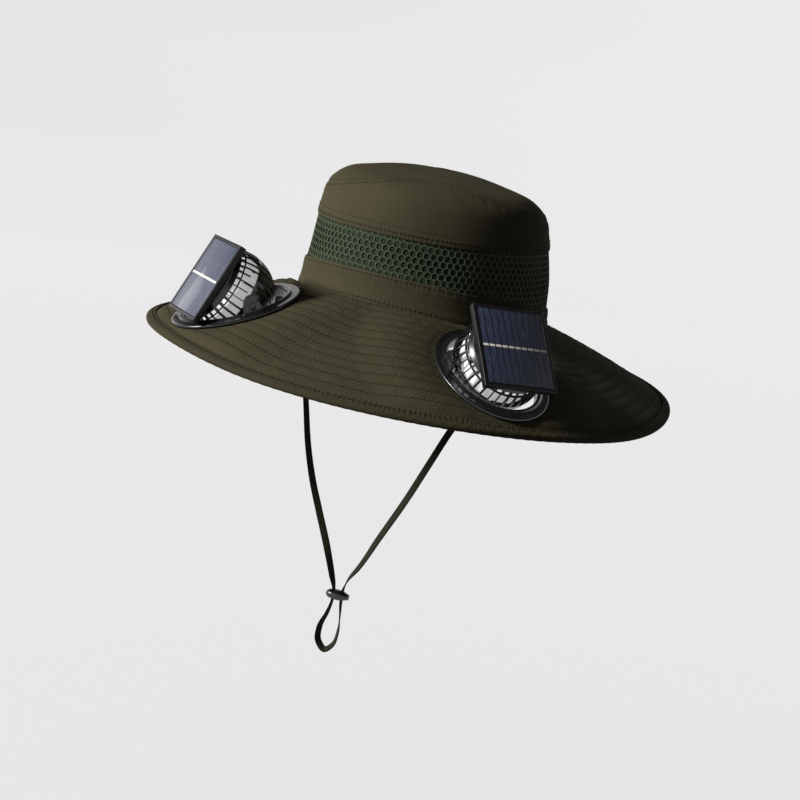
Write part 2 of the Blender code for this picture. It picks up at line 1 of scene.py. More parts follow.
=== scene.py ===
"""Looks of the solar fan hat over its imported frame: quilted olive cloth, a net of hexagonal
holes round the crown, polished plastic fans with solar panels, and a chin strap with a lock.

Lengths are metres and +Z is up. The front of the hat faces -Y and the wearer's left is +X.
Angles round the hat start at the front and grow towards the wearer's left.
"""

import logging
from dataclasses import dataclass
from enum import Enum
from functools import cached_property
from math import cos, pi, radians, sin, tau
from typing import Callable

import bpy
import numpy as np
from mathutils import Matrix, Vector


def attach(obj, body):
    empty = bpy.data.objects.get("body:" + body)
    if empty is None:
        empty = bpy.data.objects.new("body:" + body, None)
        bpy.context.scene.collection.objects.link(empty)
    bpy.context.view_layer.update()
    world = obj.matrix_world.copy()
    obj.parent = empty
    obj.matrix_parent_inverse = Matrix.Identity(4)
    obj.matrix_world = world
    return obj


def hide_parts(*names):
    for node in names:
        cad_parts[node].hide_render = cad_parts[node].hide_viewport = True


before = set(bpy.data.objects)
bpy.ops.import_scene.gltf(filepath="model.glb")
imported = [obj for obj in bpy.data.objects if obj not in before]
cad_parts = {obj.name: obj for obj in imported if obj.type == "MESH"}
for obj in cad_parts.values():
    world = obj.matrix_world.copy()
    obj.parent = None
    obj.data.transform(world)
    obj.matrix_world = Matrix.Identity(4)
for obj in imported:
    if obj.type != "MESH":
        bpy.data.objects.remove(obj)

LOG = logging.getLogger("solar_fan_hat")
Placer = Callable[[np.ndarray, np.ndarray], np.ndarray]
Surface = Callable[[np.ndarray, np.ndarray], np.ndarray]


class Side(Enum):
    """The wearer's sides."""

    LEFT = "left"
    RIGHT = "right"


class Slot(Enum):
    """Material slots of the record."""

    CLOTH = "olive_cloth"
    BINDING = "olive_binding"
    TAPE = "strap_tape"
    NET = "green_mesh"
    BLACK = "black_plastic"
    WHITE = "white_plastic"
    CELL = "solar_cell"


class Opening(Enum):
    """What a strip of the cage has between two of its rings."""

    WALL = 0
    CELLS = 1
    VENTS = 2


# Modelling by operators


def only(*items: bpy.types.Object) -> None:
    """Select these objects alone, the first one active."""
    bpy.ops.object.select_all(action="DESELECT")
    for item in items:
        item.select_set(True)
    bpy.context.view_layer.objects.active = items[0]


def started(name: str) -> bpy.types.Object:
    """Name the object that an operator has just added."""
    item = bpy.context.active_object
    item.name = item.data.name = name
    return item


def add_box(name: str, size: tuple, centre: tuple) -> bpy.types.Object:
    """A box of a size about a centre, with its place in its mesh."""
    bpy.ops.object.select_all(action="DESELECT")
    bpy.ops.mesh.primitive_cube_add(size=1.0, location=centre, scale=size)
    item = started(name)
    bpy.ops.object.transform_apply(location=True, rotation=True, scale=True)
    return item


def add_cylinder(name: str, radius: float, low: float, high: float, sides: int = 48) -> bpy.types.Object:
    """A capped cylinder along Z between two heights."""
    bpy.ops.object.select_all(action="DESELECT")
    middle = (0.0, 0.0, (low + high) / 2)
    bpy.ops.mesh.primitive_cylinder_add(vertices=sides, radius=radius, depth=high - low, location=middle)
    item = started(name)
    bpy.ops.object.transform_apply(location=True, rotation=True, scale=True)
    return item


def edit(item: bpy.types.Object, *steps: Callable[[], object]) -> None:
    """Run operators in edit mode on all of an object."""
    only(item)
    bpy.ops.object.mode_set(mode="EDIT")
    bpy.ops.mesh.select_all(action="SELECT")
    for step in steps:
        step()
    bpy.ops.object.mode_set(mode="OBJECT")


def weld(item: bpy.types.Object) -> None:
    """Merge doubled vertices and point the faces outwards."""
    edit(
        item,
        lambda: bpy.ops.mesh.remove_doubles(threshold=4e-6),
        lambda: bpy.ops.mesh.normals_make_consistent(inside=False),
    )


def select_faces(item: bpy.types.Object, chosen: np.ndarray) -> None:
    """Set which faces of an object are selected when edit mode starts."""
    only(item)
    bpy.ops.object.mode_set(mode="EDIT")
    bpy.ops.mesh.select_mode(type="FACE")
    bpy.ops.mesh.select_all(action="DESELECT")
    bpy.ops.object.mode_set(mode="OBJECT")
    item.data.polygons.foreach_set("select", chosen)
    bpy.ops.object.mode_set(mode="EDIT")


def delete_faces(item: bpy.types.Object, chosen: np.ndarray) -> None:
    """Delete the chosen faces."""
    select_faces(item, chosen)
    bpy.ops.mesh.delete(type="FACE")
    bpy.ops.object.mode_set(mode="OBJECT")


def face_centres(item: bpy.types.Object) -> np.ndarray:
    """Centres of an object's faces, a row for each."""
    flat = np.empty(len(item.data.polygons) * 3, dtype=np.float32)
    item.data.polygons.foreach_get("center", flat)
    return flat.reshape(-1, 3)


def points_of(item: bpy.types.Object) -> np.ndarray:
    """Vertices of an object, a row for each."""
    flat = np.empty(len(item.data.vertices) * 3, dtype=np.float32)
    item.data.vertices.foreach_get("co", flat)
    return flat.reshape(-1, 3).astype(np.float64)


def move_points(item: bpy.types.Object, points: np.ndarray) -> None:
    """Set the vertices of an object."""
    item.data.vertices.foreach_set("co", points.astype(np.float32).ravel())
    item.data.update()


def finish_with(item: bpy.types.Object, kind: str, **settings: object) -> None:
    """Add a modifier and apply it.

    Args:
        item: the object it works on.
        kind: the modifier's type.
        settings: its settings by name.
    """
    step = item.modifiers.new(kind.lower(), kind)
    for name, value in settings.items():
        setattr(step, name, value)
    only(item)
    bpy.ops.object.modifier_apply(modifier=step.name)


def bevel(item: bpy.types.Object, width: float, segments: int = 2) -> None:
    """Round the sharp edges of an object."""
    finish_with(item, "BEVEL", width=width, segments=segments, limit_method="ANGLE", angle_limit=radians(35))


def smooth(item: bpy.types.Object, angle: float = 40.0) -> None:
    """Shade smooth below an edge angle in degrees."""
    only(item)
    bpy.ops.object.shade_smooth_by_angle(angle=radians(angle))


def join(name: str, items: list[bpy.types.Object]) -> bpy.types.Object:
    """Join objects into one."""
    only(*items)
    bpy.ops.object.join()
    return started(name)


def cut(item: bpy.types.Object, tool: bpy.types.Object) -> None:
    """Cut a tool out of an object and remove the tool."""
    finish_with(item, "BOOLEAN", operation="DIFFERENCE", solver="EXACT", object=tool)
    bpy.data.objects.remove(tool, do_unlink=True)


def settle(item: bpy.types.Object, place: Matrix) -> None:
    """Move an object's mesh into place and leave the object at the origin."""
    item.matrix_world = place
    only(item)
    bpy.ops.object.transform_apply(location=True, rotation=True, scale=True)


def write_map(item: bpy.types.Object, name: str, values: np.ndarray) -> None:
    """Write a UV map from a pair of values for each vertex."""
    layer = item.data.uv_layers.get(name) or item.data.uv_layers.new(name=name)
    corners = np.empty(len(item.data.loops), dtype=np.int32)
    item.data.loops.foreach_get("vertex_index", corners)
    layer.uv.foreach_set("vector", values[corners].astype(np.float32).ravel())


def wrap(name: str, columns: int, rows: int, place: Placer, maps: dict[str, Placer]) -> bpy.types.Object:
    """Lay a grid on a surface and close its seams.

    Args:
        name: the object's name.
        columns: faces along the first direction.
        rows: faces along the second.
        place: gives points from shares 0 to 1 in both directions.
        maps: give the UV maps by name, from the same shares.

    Returns:
        The welded object.
    """
    bpy.ops.object.select_all(action="DESELECT")
    bpy.ops.mesh.primitive_grid_add(x_subdivisions=columns, y_subdivisions=rows, size=1.0)
    item = started(name)
    flat = points_of(item)
    along, across = flat[:, 0] + 0.5, flat[:, 1] + 0.5
    while item.data.uv_layers:
        item.data.uv_layers.remove(item.data.uv_layers[0])
    for map_name, values in maps.items():
        write_map(item, map_name, values(along, across))
    move_points(item, place(along, across))
    weld(item)
    return item


def run_of(points: np.ndarray) -> np.ndarray:
    """Distance along a line at each of its points."""
    return np.concatenate([[0.0], np.cumsum(np.linalg.norm(np.diff(points, axis=0), axis=1))])


def read_along(at: np.ndarray, knots: np.ndarray, rows: np.ndarray) -> np.ndarray:
    """Rows of a table, read at places between its knots."""
    return np.stack([np.interp(at, knots, column) for column in rows.T], axis=-1)


def read_section(section: np.ndarray, across: np.ndarray) -> np.ndarray:
    """Columns of a section's table, read at shares 0 to 1 of its rows."""
    last = len(section) - 1
    return read_along(across * last, np.arange(last + 1), section).T


def oval(wide: object, long: object, turn: object, height: np.ndarray) -> np.ndarray:
    """Points of an oval about Z, from its half width and length, a share of a turn and a height."""
    return np.stack([wide * np.cos(turn * tau), long * np.sin(turn * tau), height], axis=-1)


def scatter(name: str, model: bpy.types.Object, spots: np.ndarray, axes: np.ndarray) -> bpy.types.Object:
    """Join copies of a small model, one at each spot.

    Args:
        name: the joined object's name.
        model: the object that is copied, removed afterwards.
        spots: places, a row for each copy.
        axes: three axes for each copy, as rows.

    Returns:
        The joined object.
    """
    base = points_of(model)
    faces = [tuple(face.vertices) for face in model.data.polygons]
    points = np.einsum("vk,nkj->nvj", base, axes) + spots[:, None, :]
    shifts = np.arange(len(spots)) * len(base)
    copies = [tuple(v + shift for v in face) for shift in shifts.tolist() for face in faces]
    mesh = bpy.data.meshes.new(name)
    mesh.from_pydata(points.reshape(-1, 3).tolist(), [], copies)
    item = bpy.data.objects.new(name, mesh)
    bpy.context.scene.collection.objects.link(item)
    bpy.data.objects.remove(model, do_unlink=True)
    return item


def dress(
    item: bpy.types.Object, look: bpy.types.Material, slot: Slot, body: str, *nodes: str
) -> bpy.types.Object:
    """Give a piece its material and its body.

    Args:
        item: the piece.
        look: its material.
        slot: the record's slot that the material stands for; not used.
        body: the body it rides on.
        nodes: CAD nodes that it stands for.

    Returns:
        The piece.
    """
    item.data.materials.clear()
    item.data.materials.append(look)
    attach(item, body)
    if nodes:
        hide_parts(*nodes)
    LOG.info("%s: %d faces", item.name, len(item.data.polygons))
    return item


# Shader maths


class Signal:
    """A number in a shader tree, for use in expressions."""

    def __init__(self, tree: "Look", socket: bpy.types.NodeSocket) -> None:
        """Wrap an output socket of a tree."""
        self.tree = tree
        self.socket = socket

    def _with(self, operation: str, first: object, second: object) -> "Signal":
        """The output of a Math node."""
        made = self.tree.node("ShaderNodeMath", {"operation": operation}, {0: first, 1: second})
        return Signal(self.tree, made.outputs[0])

    def __add__(self, other: object) -> "Signal":
        """self + other."""
        return self._with("ADD", self, other)

    __radd__ = __add__

    def __mul__(self, other: object) -> "Signal":
        """self * other."""
        return self._with("MULTIPLY", self, other)

    def __sub__(self, other: object) -> "Signal":
        """self - other."""
        return self._with("SUBTRACT", self, other)

    def __rsub__(self, other: object) -> "Signal":
        """other - self."""
        return self._with("SUBTRACT", other, self)

    def __truediv__(self, other: object) -> "Signal":
        """self / other."""
        return self._with("DIVIDE", self, other)

    def __lt__(self, other: object) -> "Signal":
        """1 where self is below other."""
        return self._with("LESS_THAN", self, other)

    def __gt__(self, other: object) -> "Signal":
        """1 where self is above other."""
        return self._with("GREATER_THAN", self, other)

    def apply(self, operation: str) -> "Signal":
        """The output of a Math node such as SINE, FRACT or ABSOLUTE."""
        return self._with(operation, self, 0.0)

    def between(self, low: float, high: float, start: float = 0.0, end: float = 1.0) -> "Signal":
        """The start value up to the low value, the end value from the high one, smooth between."""
        sockets = {"Value": self, "From Min": low, "From Max": high, "To Min": start, "To Max": end}
        made = self.tree.node("ShaderNodeMapRange", {"interpolation_type": "SMOOTHSTEP"}, sockets)
        return Signal(self.tree, made.outputs[0])

    def near(self, value: float, width: float) -> "Signal":
        """1 at a value, falling smoothly to 0 at a width from it."""
        return (self - value).apply("ABSOLUTE").between(0.0, width, 1.0, 0.0)


class Look:
    """A Principled material that is built from expressions."""

    def __init__(self, name: str, colour: tuple, roughness: float, metallic: float = 0.0) -> None:
        """Start a material with one colour, roughness and metallic value."""
        self.material = bpy.data.materials.new(name)
        self.material.use_nodes = True
        self.material.diffuse_color = (*colour, 1.0)
        self.tree = self.material.node_tree
        self.shader = self.tree.nodes["Principled BSDF"]
        self.put("Base Color", (*colour, 1.0))
        self.put("Roughness", roughness)
        self.put("Metallic", metallic)

    def put(self, socket: str, value: object) -> None:
        """Set or link a socket of the Principled shader."""
        self._fill(self.shader.inputs[socket], value)

    def dull(self, level: float) -> None:
        """Lower the shader's mirror reflection from its usual 0.5."""
        self.shader.inputs["Specular IOR Level"].default_value = level

    def _fill(self, socket: bpy.types.NodeSocket, value: object) -> None:
        """Set a socket to a value, or link it to an output."""
        if isinstance(value, Signal):
            self.tree.links.new(value.socket, socket)
        elif isinstance(value, bpy.types.NodeSocket):
            self.tree.links.new(value, socket)
        else:
            socket.default_value = value

    def node(self, kind: str, settings: dict, sockets: dict) -> bpy.types.Node:
        """Add a node.

        Args:
            kind: the node's type.
            settings: its settings, set before its sockets.
            sockets: values or links by the socket's name or number.

        Returns:
            The node.
        """
        made = self.tree.nodes.new(kind)
        for name, value in settings.items():
            setattr(made, name, value)
        for key, value in sockets.items():
            self._fill(made.inputs[key], value)
        return made

    def pair(self, name: str) -> tuple[Signal, Signal]:
        """The two values of a UV map."""
        source = self.node("ShaderNodeUVMap", {"uv_map": name}, {})
        split = self.node("ShaderNodeSeparateXYZ", {}, {0: source.outputs[0]})
        return Signal(self, split.outputs[0]), Signal(self, split.outputs[1])

    def place(self) -> bpy.types.NodeSocket:
        """Object coordinates."""
        return self.node("ShaderNodeTexCoord", {}, {}).outputs["Object"]

    def vector(self, x: object, y: object) -> bpy.types.NodeSocket:
        """A vector of two numbers, with no height."""
        return self.node("ShaderNodeCombineXYZ", {}, {0: x, 1: y}).outputs[0]

    def noise(self, at: bpy.types.NodeSocket, scale: float, detail: float = 2.0) -> Signal:
        """Noise from 0 to 1 at a place."""
        made = self.node("ShaderNodeTexNoise", {}, {"Vector": at, "Scale": scale, "Detail": detail})
        return Signal(self, made.outputs["Fac"])

    def mix(self, share: object, first: object, second: object) -> bpy.types.NodeSocket:
        """A colour between two colours."""
        settings = {"data_type": "RGBA", "clamp_factor": True}
        pair = [(*c, 1.0) if isinstance(c, tuple) else c for c in (first, second)]
        return self.node("ShaderNodeMix", settings, {0: share, 6: pair[0], 7: pair[1]}).outputs[2]

    def bump(self, height: Signal, distance: float, strength: float = 1.0) -> None:
        """Raise the surface by a height times a distance."""
        sockets = {"Height": height, "Distance": distance, "Strength": strength}
        made = self.node("ShaderNodeBump", {}, sockets)
        self.put("Normal", made.outputs[0])


@dataclass(frozen=True)
class Cloth:
    """Plain woven cloth with stitched edges or rows, painted darker in its stitched grooves as shade, and
    painted lighter and darker on its puckers as their light and shade.
    """

    name: str
    colour: tuple = (0.0700, 0.0620, 0.0350)
    dark: tuple = (0.0440, 0.0385, 0.0215)
    thread: float = 0.00062
    seam_inset: float = 0.0024
    row_pitch: float = 0.0
    pucker: float = 0.0
    pucker_pitch: float = 0.0036

    def made(self) -> bpy.types.Material:
        """The material."""
        look = Look(self.name, self.colour, 0.95)
        along, across = look.pair("cloth")
        first, second = look.pair("edges")
        weave = (along * (tau / self.thread)).apply("SINE") * (across * (tau / self.thread)).apply("SINE")
        broad = look.noise(look.place(), 34.0, 3.0)
        fine = look.noise(look.place(), 420.0, 2.0)
        stray = look.noise(look.vector(along * 60.0, across * 60.0), 1.0, 1.0)
        # The stitched lines (line) are painted darker in the colour below, as the shade that falls in their
        # grooves.
        if self.row_pitch:
            phase = (first / self.row_pitch).apply("FRACT")
            row = (first / self.row_pitch).apply("FLOOR")
            line = phase.near(0.0, 0.07) + phase.near(1.0, 0.07)
            near_line = phase.near(0.0, 0.30) + phase.near(1.0, 0.30)
            turn = along / self.pucker_pitch + stray * 1.6 + row * 0.37
        else:
            line = first.near(self.seam_inset, 0.0008) + second.near(self.seam_inset, 0.0008)
            near_line = first.near(self.seam_inset, 0.0045) + second.near(self.seam_inset, 0.0045)
            turn = along / self.pucker_pitch + stray * 1.6
        # The gathers also tint the colour below, as painted light and shade on the puckers along each
        # stitched line; the mottle and the weave are the cloth's own tone.
        gathers = (turn * tau).apply("SINE") * near_line
        mottle = (broad - 0.5) * 0.7 + (fine - 0.5) * 0.5
        tone_and_painted_shade = mottle + 0.35 + line * 0.45 - weave * 0.08 - gathers * (0.10 * self.pucker)
        look.put("Base Color", look.mix(tone_and_painted_shade, self.colour, self.dark))
        look.put("Roughness", 0.92 + fine * 0.07)
        look.dull(0.05)
        look.bump(weave * 0.07 + fine * 0.18 + gathers * self.pucker - line * 0.9, 0.0006)
        return look.material


@dataclass(frozen=True)
class Net:
    """Knitted net thread in two shades."""

    colour: tuple = (0.088, 0.112, 0.064)
    dark: tuple = (0.040, 0.052, 0.029)

    def made(self) -> bpy.types.Material:
        """The material."""
        look = Look("net_thread", self.colour, 0.82)
        spot = look.place()
        broad = look.noise(spot, 30.0, 2.0)
        fine = look.noise(spot, 900.0, 2.0)
        look.put("Base Color", look.mix(broad * 0.5 + fine * 0.6 - 0.1, self.colour, self.dark))
        look.put("Roughness", 0.7 + fine * 0.25)
        look.dull(0.15)
        look.bump(fine, 0.0004)
        return look.material


@dataclass(frozen=True)
class Backing:
    """Dark lining behind the net."""

    colour: tuple = (0.0330, 0.0460, 0.0270)
    dark: tuple = (0.0180, 0.0260, 0.0150)

    def made(self) -> bpy.types.Material:
        """The material."""
        look = Look("net_backing", self.colour, 0.9)
        spot = look.place()
        grain = look.noise(spot, 700.0, 2.0)
        broad = look.noise(spot, 40.0, 2.0)
        look.put("Base Color", look.mix(grain * 0.7 + broad * 0.4 - 0.05, self.colour, self.dark))
        look.put("Roughness", 0.8 + grain * 0.15)
        look.dull(0.08)
        look.bump(grain, 0.0004)
        return look.material


@dataclass(frozen=True)
class Moulding:
    """Moulded plastic, polished with a faint grain and rubbed patches, with a painted glow where one is
    given.
    """

    name: str
    colour: tuple
    roughness: float
    coat: float = 0.0
    mirror: float = 0.5
    # Strength of a painted glow in the plastic's own colour; the part is no lamp.
    painted_glow: float = 0.0

    def made(self) -> bpy.types.Material:
        """The material."""
        look = Look(self.name, self.colour, self.roughness)
        spot = look.place()
        rubbed = look.noise(spot, 90.0, 4.0)
        grain = look.noise(spot, 1600.0, 1.0)
        lighter = tuple(min(1.0, c * 1.35 + 0.002) for c in self.colour)
        look.put("Base Color", look.mix(rubbed.between(0.45, 0.75) * 0.7, self.colour, lighter))
        look.put("Roughness", self.roughness + (rubbed - 0.5) * 0.16)
        look.put("Coat Weight", self.coat)
        look.dull(self.mirror)
        look.shader.inputs["Coat Roughness"].default_value = 0.12
        # Painted glow: the plastic gives off light of its own colour.
        if self.painted_glow:
            look.put("Emission Color", (*self.colour, 1.0))
            look.shader.inputs["Emission Strength"].default_value = self.painted_glow
        look.bump(grain, 0.00004, 0.6)
        return look.material


@dataclass(frozen=True)
class Steel:
    """Drawn steel, turned round its axis."""

    def made(self) -> bpy.types.Material:
        """The material."""
        look = Look("drawn_steel", (0.42, 0.42, 0.43), 0.34, 1.0)
        streak = look.noise(look.place(), 500.0, 3.0)
        look.put("Roughness", 0.26 + streak * 0.2)
        look.bump(streak, 0.00005)
        return look.material


@dataclass(frozen=True)
class Cells:
    """Solar cells under clear resin: strips side by side with a tinned bar across their middle."""

    width: float
    strips: int = 10
    colour: tuple = (0.022, 0.029, 0.064)
    streak: tuple = (0.082, 0.098, 0.170)
    line: tuple = (0.002, 0.003, 0.007)
    bar: tuple = (0.98, 0.94, 0.84)
    bar_half: float = 0.0009

    def made(self) -> bpy.types.Material:
        """The material."""
        look = Look("cell_strips", self.colour, 0.35)
        across, along = look.pair("cloth")
        pitch = self.width / self.strips
        phase = ((across + self.width / 2) / pitch).apply("FRACT")
        strip = ((across + self.width / 2) / pitch).apply("FLOOR")
        gap = phase.near(0.0, 0.16) + phase.near(1.0, 0.16)
        streaks = look.noise(look.vector(across * 1100.0, along * 130.0), 1.0, 3.0).between(0.36, 0.72)
        tint = look.noise(look.vector(strip * 1.7, 0.0), 3.0, 0.0)
        base = look.mix(streaks * 0.7 + (tint - 0.5) * 0.4, self.colour, self.streak)
        lined = look.mix(gap, base, self.line)
        on_bar = (along.apply("ABSOLUTE") < self.bar_half) * (phase > 0.09) * (phase < 0.93)
        look.put("Base Color", look.mix(on_bar, lined, self.bar))
        look.put("Roughness", 0.42 - on_bar * 0.12)
        look.put("Coat Weight", 0.4)
        look.shader.inputs["Coat Roughness"].default_value = 0.09
        look.bump(gap * -1.0 + on_bar * 1.5 + streaks * 0.15, 0.00012)
        return look.material


@dataclass(frozen=True)
class Tape:
    """Woven strap tape: ribs across, an olive face and dark edges."""

    width: float
    colour: tuple = (0.034, 0.032, 0.018)
    edge: tuple = (0.006, 0.006, 0.005)
    rib: float = 0.0011

    def made(self) -> bpy.types.Material:
        """The material."""
        look = Look("strap_weave", self.colour, 0.9)
        along, across = look.pair("cloth")
        ribs = (along * (tau / self.rib)).apply("SINE")
        lines = (across * (tau / 0.0009)).apply("SINE")
        rim = (across.apply("ABSOLUTE") / (self.width / 2)).between(0.62, 0.80)
        fuzz = look.noise(look.place(), 800.0, 2.0)
        face = look.mix(ribs * lines * 0.3 + fuzz * 0.5, self.colour, self.edge)
        look.put("Base Color", look.mix(rim, face, self.edge))
        look.put("Roughness", 0.8 + fuzz * 0.18)
        look.dull(0.10)
        look.bump(ribs * lines * 0.4 + fuzz * 0.3 - rim * 0.2, 0.0003)
        return look.material


@dataclass(frozen=True)
class Thread:
    """Sewing thread."""

    colour: tuple = (0.050, 0.045, 0.027)

    def made(self) -> bpy.types.Material:
        """The material."""
        look = Look("thread", self.colour, 0.8)
        twist = look.noise(look.place(), 2500.0, 1.0)
        dark = tuple(c * 0.45 for c in self.colour)
        look.put("Base Color", look.mix(twist, self.colour, dark))
        look.dull(0.08)
        look.bump(twist, 0.0001)
        return look.material


# Form of the hat


def smooth_value(knots: np.ndarray, values: np.ndarray, at: np.ndarray) -> np.ndarray:
    """Values read at some places from a smooth curve through knots."""
    knots, values, at = np.asarray(knots), np.asarray(values), np.asarray(at)
    slopes = np.gradient(values, knots)
    low = np.clip(np.searchsorted(knots, at) - 1, 0, len(knots) - 2)
    span = knots[low + 1] - knots[low]
    t = (at - knots[low]) / span
    start = (2 * t**3 - 3 * t**2 + 1) * values[low] + (t**3 - 2 * t**2 + t) * span * slopes[low]
    end = (3 * t**2 - 2 * t**3) * values[low + 1] + (t**3 - t**2) * span * slopes[low + 1]
    return start + end


def fade(value: np.ndarray) -> np.ndarray:
    """A smooth step from 0 at 0 to 1 at 1."""
    t = np.clip(value, 0.0, 1.0)
    return t * t * (3 - 2 * t)


@dataclass(frozen=True)
class FanPlace:
    """Where a fan sits: angle round the hat, share of the brim, turn on it, and tilt."""

    side: Side
    angle: float
    share: float
    turn: float
    tilt: float


@dataclass(frozen=True)
class Plate:
    """Sizes of a fan's base plate, about the plate's own middle on the brim."""

    half_length: float = 0.0500
    half_width: float = 0.0430
    window_half_length: float = 0.0400
    window_half_width: float = 0.0340
    collar: float = 0.0015
    pivot: float = 0.0095


@dataclass(frozen=True)
class HatForm:
    """Main surfaces of the hat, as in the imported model, with softer flats under the fans."""

    cloth: float = 0.002
    gap: float = 0.0003
    half_width: float = 0.098
    half_depth: float = 0.104
    height: float = 0.110
    top_tilt: float = 0.004
    top_tilt_angle: float = radians(-70)
    mesh_top: float = 0.063
    mesh_foot: float = 0.019
    mesh_foot_wave: float = 0.0137
    mesh_foot_crest: float = radians(-10)
    tip_seam: float = 0.0935
    tip_seam_wave: float = 0.0095
    tip_seam_crest: float = radians(15)
    # Crown side: height and half width, as shares
    profile: tuple = (
        (-0.06, 1.010),
        (0.00, 1.000),
        (0.10, 0.983),
        (0.28, 0.962),
        (0.53, 0.922),
        (0.71, 0.886),
        (0.815, 0.838),
        (0.89, 0.740),
        (0.942, 0.550),
        (0.98, 0.300),
        (1.00, 0.000),
    )
    # Seam of crown and brim: angle in degrees, height over crown height
    seam_heights: tuple = (
        (-165, -0.03),
        (-120, -0.02),
        (-75, 0.02),
        (-40, 0.08),
        (-10, 0.10),
        (15, 0.08),
        (40, 0.04),
        (90, -0.02),
        (135, -0.03),
    )
    brim_width: float = 0.120
    brim_arch: float = 0.050
    # Rim of the brim: angle in degrees, drop over brim width
    rim_drops: tuple = (
        (-160, 0.41),
        (-110, 0.37),
        (-70, 0.31),
        (-40, 0.28),
        (-10, 0.33),
        (26, 0.38),
        (51, 0.42),
        (75, 0.45),
        (110, 0.41),
        (155, 0.40),
    )
    binding_width: float = 0.008
    flat_share: float = 1.08
    free_share: float = 2.30
    edge_fade: float = 0.04
    plate: Plate = Plate()
    fans: tuple = (
        FanPlace(Side.LEFT, radians(39.8), 0.500, radians(2.5), radians(22.5)),
        FanPlace(Side.RIGHT, radians(-41.3), 0.505, radians(-2), radians(41.9)),
    )

    @property
    def binding_root(self) -> float:
        """Share of the brim at which the binding starts."""
        return 1.0 - self.binding_width / self.brim_width

    @staticmethod
    def round_hat(table: tuple, angle: np.ndarray) -> np.ndarray:
        """A table's value at an angle, smooth and closed round the hat."""
        angles = np.radians([row[0] for row in table])
        values = np.array([row[1] for row in table])
        knots = np.concatenate([angles - 2 * pi, angles, angles + 2 * pi])
        return smooth_value(knots, np.tile(values, 3), angle)

    @cached_property
    def curve(self) -> tuple[np.ndarray, np.ndarray, np.ndarray]:
        """The crown's side line: length along it, height and half-width share."""
        table = np.array(self.profile)
        metres = table * (self.height, self.half_width + self.cloth)
        knots = run_of(metres)
        dense = np.linspace(0.0, knots[-1], 1600)
        heights = smooth_value(knots, metres[:, 0], dense)
        return dense, np.maximum.accumulate(heights), smooth_value(knots, table[:, 1], dense)

    def length_at(self, height: np.ndarray) -> np.ndarray:
        """Distance up the crown's side at which it reaches a height."""
        lengths, heights, _ = self.curve
        return np.interp(height, heights, lengths)

    def crown(self, angle: np.ndarray, length: np.ndarray) -> np.ndarray:
        """Outer surface of the crown, with the soft dents of its cloth."""
        lengths, heights, widths = self.curve
        height = np.interp(length, lengths, heights)
        share = np.interp(length, lengths, widths)
        lean = self.top_tilt * share * (height / self.height) ** 2 * np.cos(angle - self.top_tilt_angle)
        soft = fade((height - 0.012) / 0.03) * fade(share * 1.6)
        dent = 0.0007 * np.sin(3 * angle + 1.1 + 30 * length) + 0.0005 * np.sin(5 * angle - 0.6 - 47 * length)
        x = ((self.half_width + self.cloth) * share + soft * dent) * np.sin(angle)
        y = -((self.half_depth + self.cloth) * share + soft * dent) * np.cos(angle)
        return np.stack([x, y, height + lean + 0.5 * soft * dent], axis=-1)

    def seam(self, angle: np.ndarray) -> np.ndarray:
        """Height of the seam of crown and brim."""
        return self.height * self.round_hat(self.seam_heights, angle)

    def free_brim(self, angle: np.ndarray, share: np.ndarray) -> np.ndarray:
        """Middle surface of the brim before the fans flatten it."""
        start_x = (self.half_width + self.cloth / 2) * np.sin(angle)
        start_y = -(self.half_depth + self.cloth / 2) * np.cos(angle)
        drop = self.brim_width * self.round_hat(self.rim_drops, angle)
        reach = np.sqrt(self.brim_width**2 - drop**2) * share
        arch = share - self.brim_arch * np.sin(pi * share)
        height = self.seam(angle) + (-drop - self.seam(angle)) * arch
        return np.stack([start_x + reach * np.sin(angle), start_y - reach * np.cos(angle), height], axis=-1)

    def fan_frame(self, fan: FanPlace) -> Matrix:
        """Frame of a fan on the brim: X is its tilt axis, Y points to the crown, Z is off the brim."""
        step = 1e-4
        angle = np.float64(fan.angle)
        centre = Vector(self.free_brim(angle, fan.share))
        inward = Vector(self.free_brim(angle, fan.share - step)) - centre
        along = Vector(self.free_brim(angle + step, fan.share)) - centre
        up = along.cross(inward).normalized()
        inward = (inward - up * inward.dot(up)).normalized()
        turned = Matrix((inward.cross(up), inward, up)).transposed().to_4x4()
        return Matrix.Translation(centre) @ turned @ Matrix.Rotation(fan.turn, 4, "Z")

    def fan_tilted(self, fan: FanPlace) -> Matrix:
        """Frame of a fan's tilting part, at its pivot."""
        pivot = Matrix.Translation((0.0, 0.0, self.plate.pivot))
        return self.fan_frame(fan) @ pivot @ Matrix.Rotation(fan.tilt, 4, "X")

    @cached_property
    def frames(self) -> list[np.ndarray]:
        """The fans' frames as arrays."""
        return [np.array(self.fan_frame(fan)) for fan in self.fans]

    def on_plate(self, frame_of_plate: np.ndarray, points: np.ndarray) -> tuple[np.ndarray, np.ndarray]:
        """Points in a plate's frame, and their share of its oval, 1 on the plate's edge."""
        local = (points - frame_of_plate[:3, 3]) @ frame_of_plate[:3, :3]
        across = local[..., 0] / self.plate.half_width
        return local, np.hypot(local[..., 1] / self.plate.half_length, across)

    def under_plate(self, points: np.ndarray) -> np.ndarray:
        """How far points are from the nearest plate's middle, 1 on the plate's edge."""
        return np.minimum(*(self.on_plate(placed, points)[1] for placed in self.frames))

    def brim(self, angle: np.ndarray, share: np.ndarray) -> np.ndarray:
        """Middle surface of the brim, flat under the plates of the fans."""
        points = self.free_brim(angle, share)
        edge = fade(share / self.edge_fade) * fade((self.binding_root - share) / self.edge_fade)
        for placed in self.frames:
            local, from_middle = self.on_plate(placed, points)
            weight = edge * fade((self.free_share - from_middle) / (self.free_share - self.flat_share))
            points = points - (weight * local[..., 2])[..., None] * placed[:3, 2]
        return points

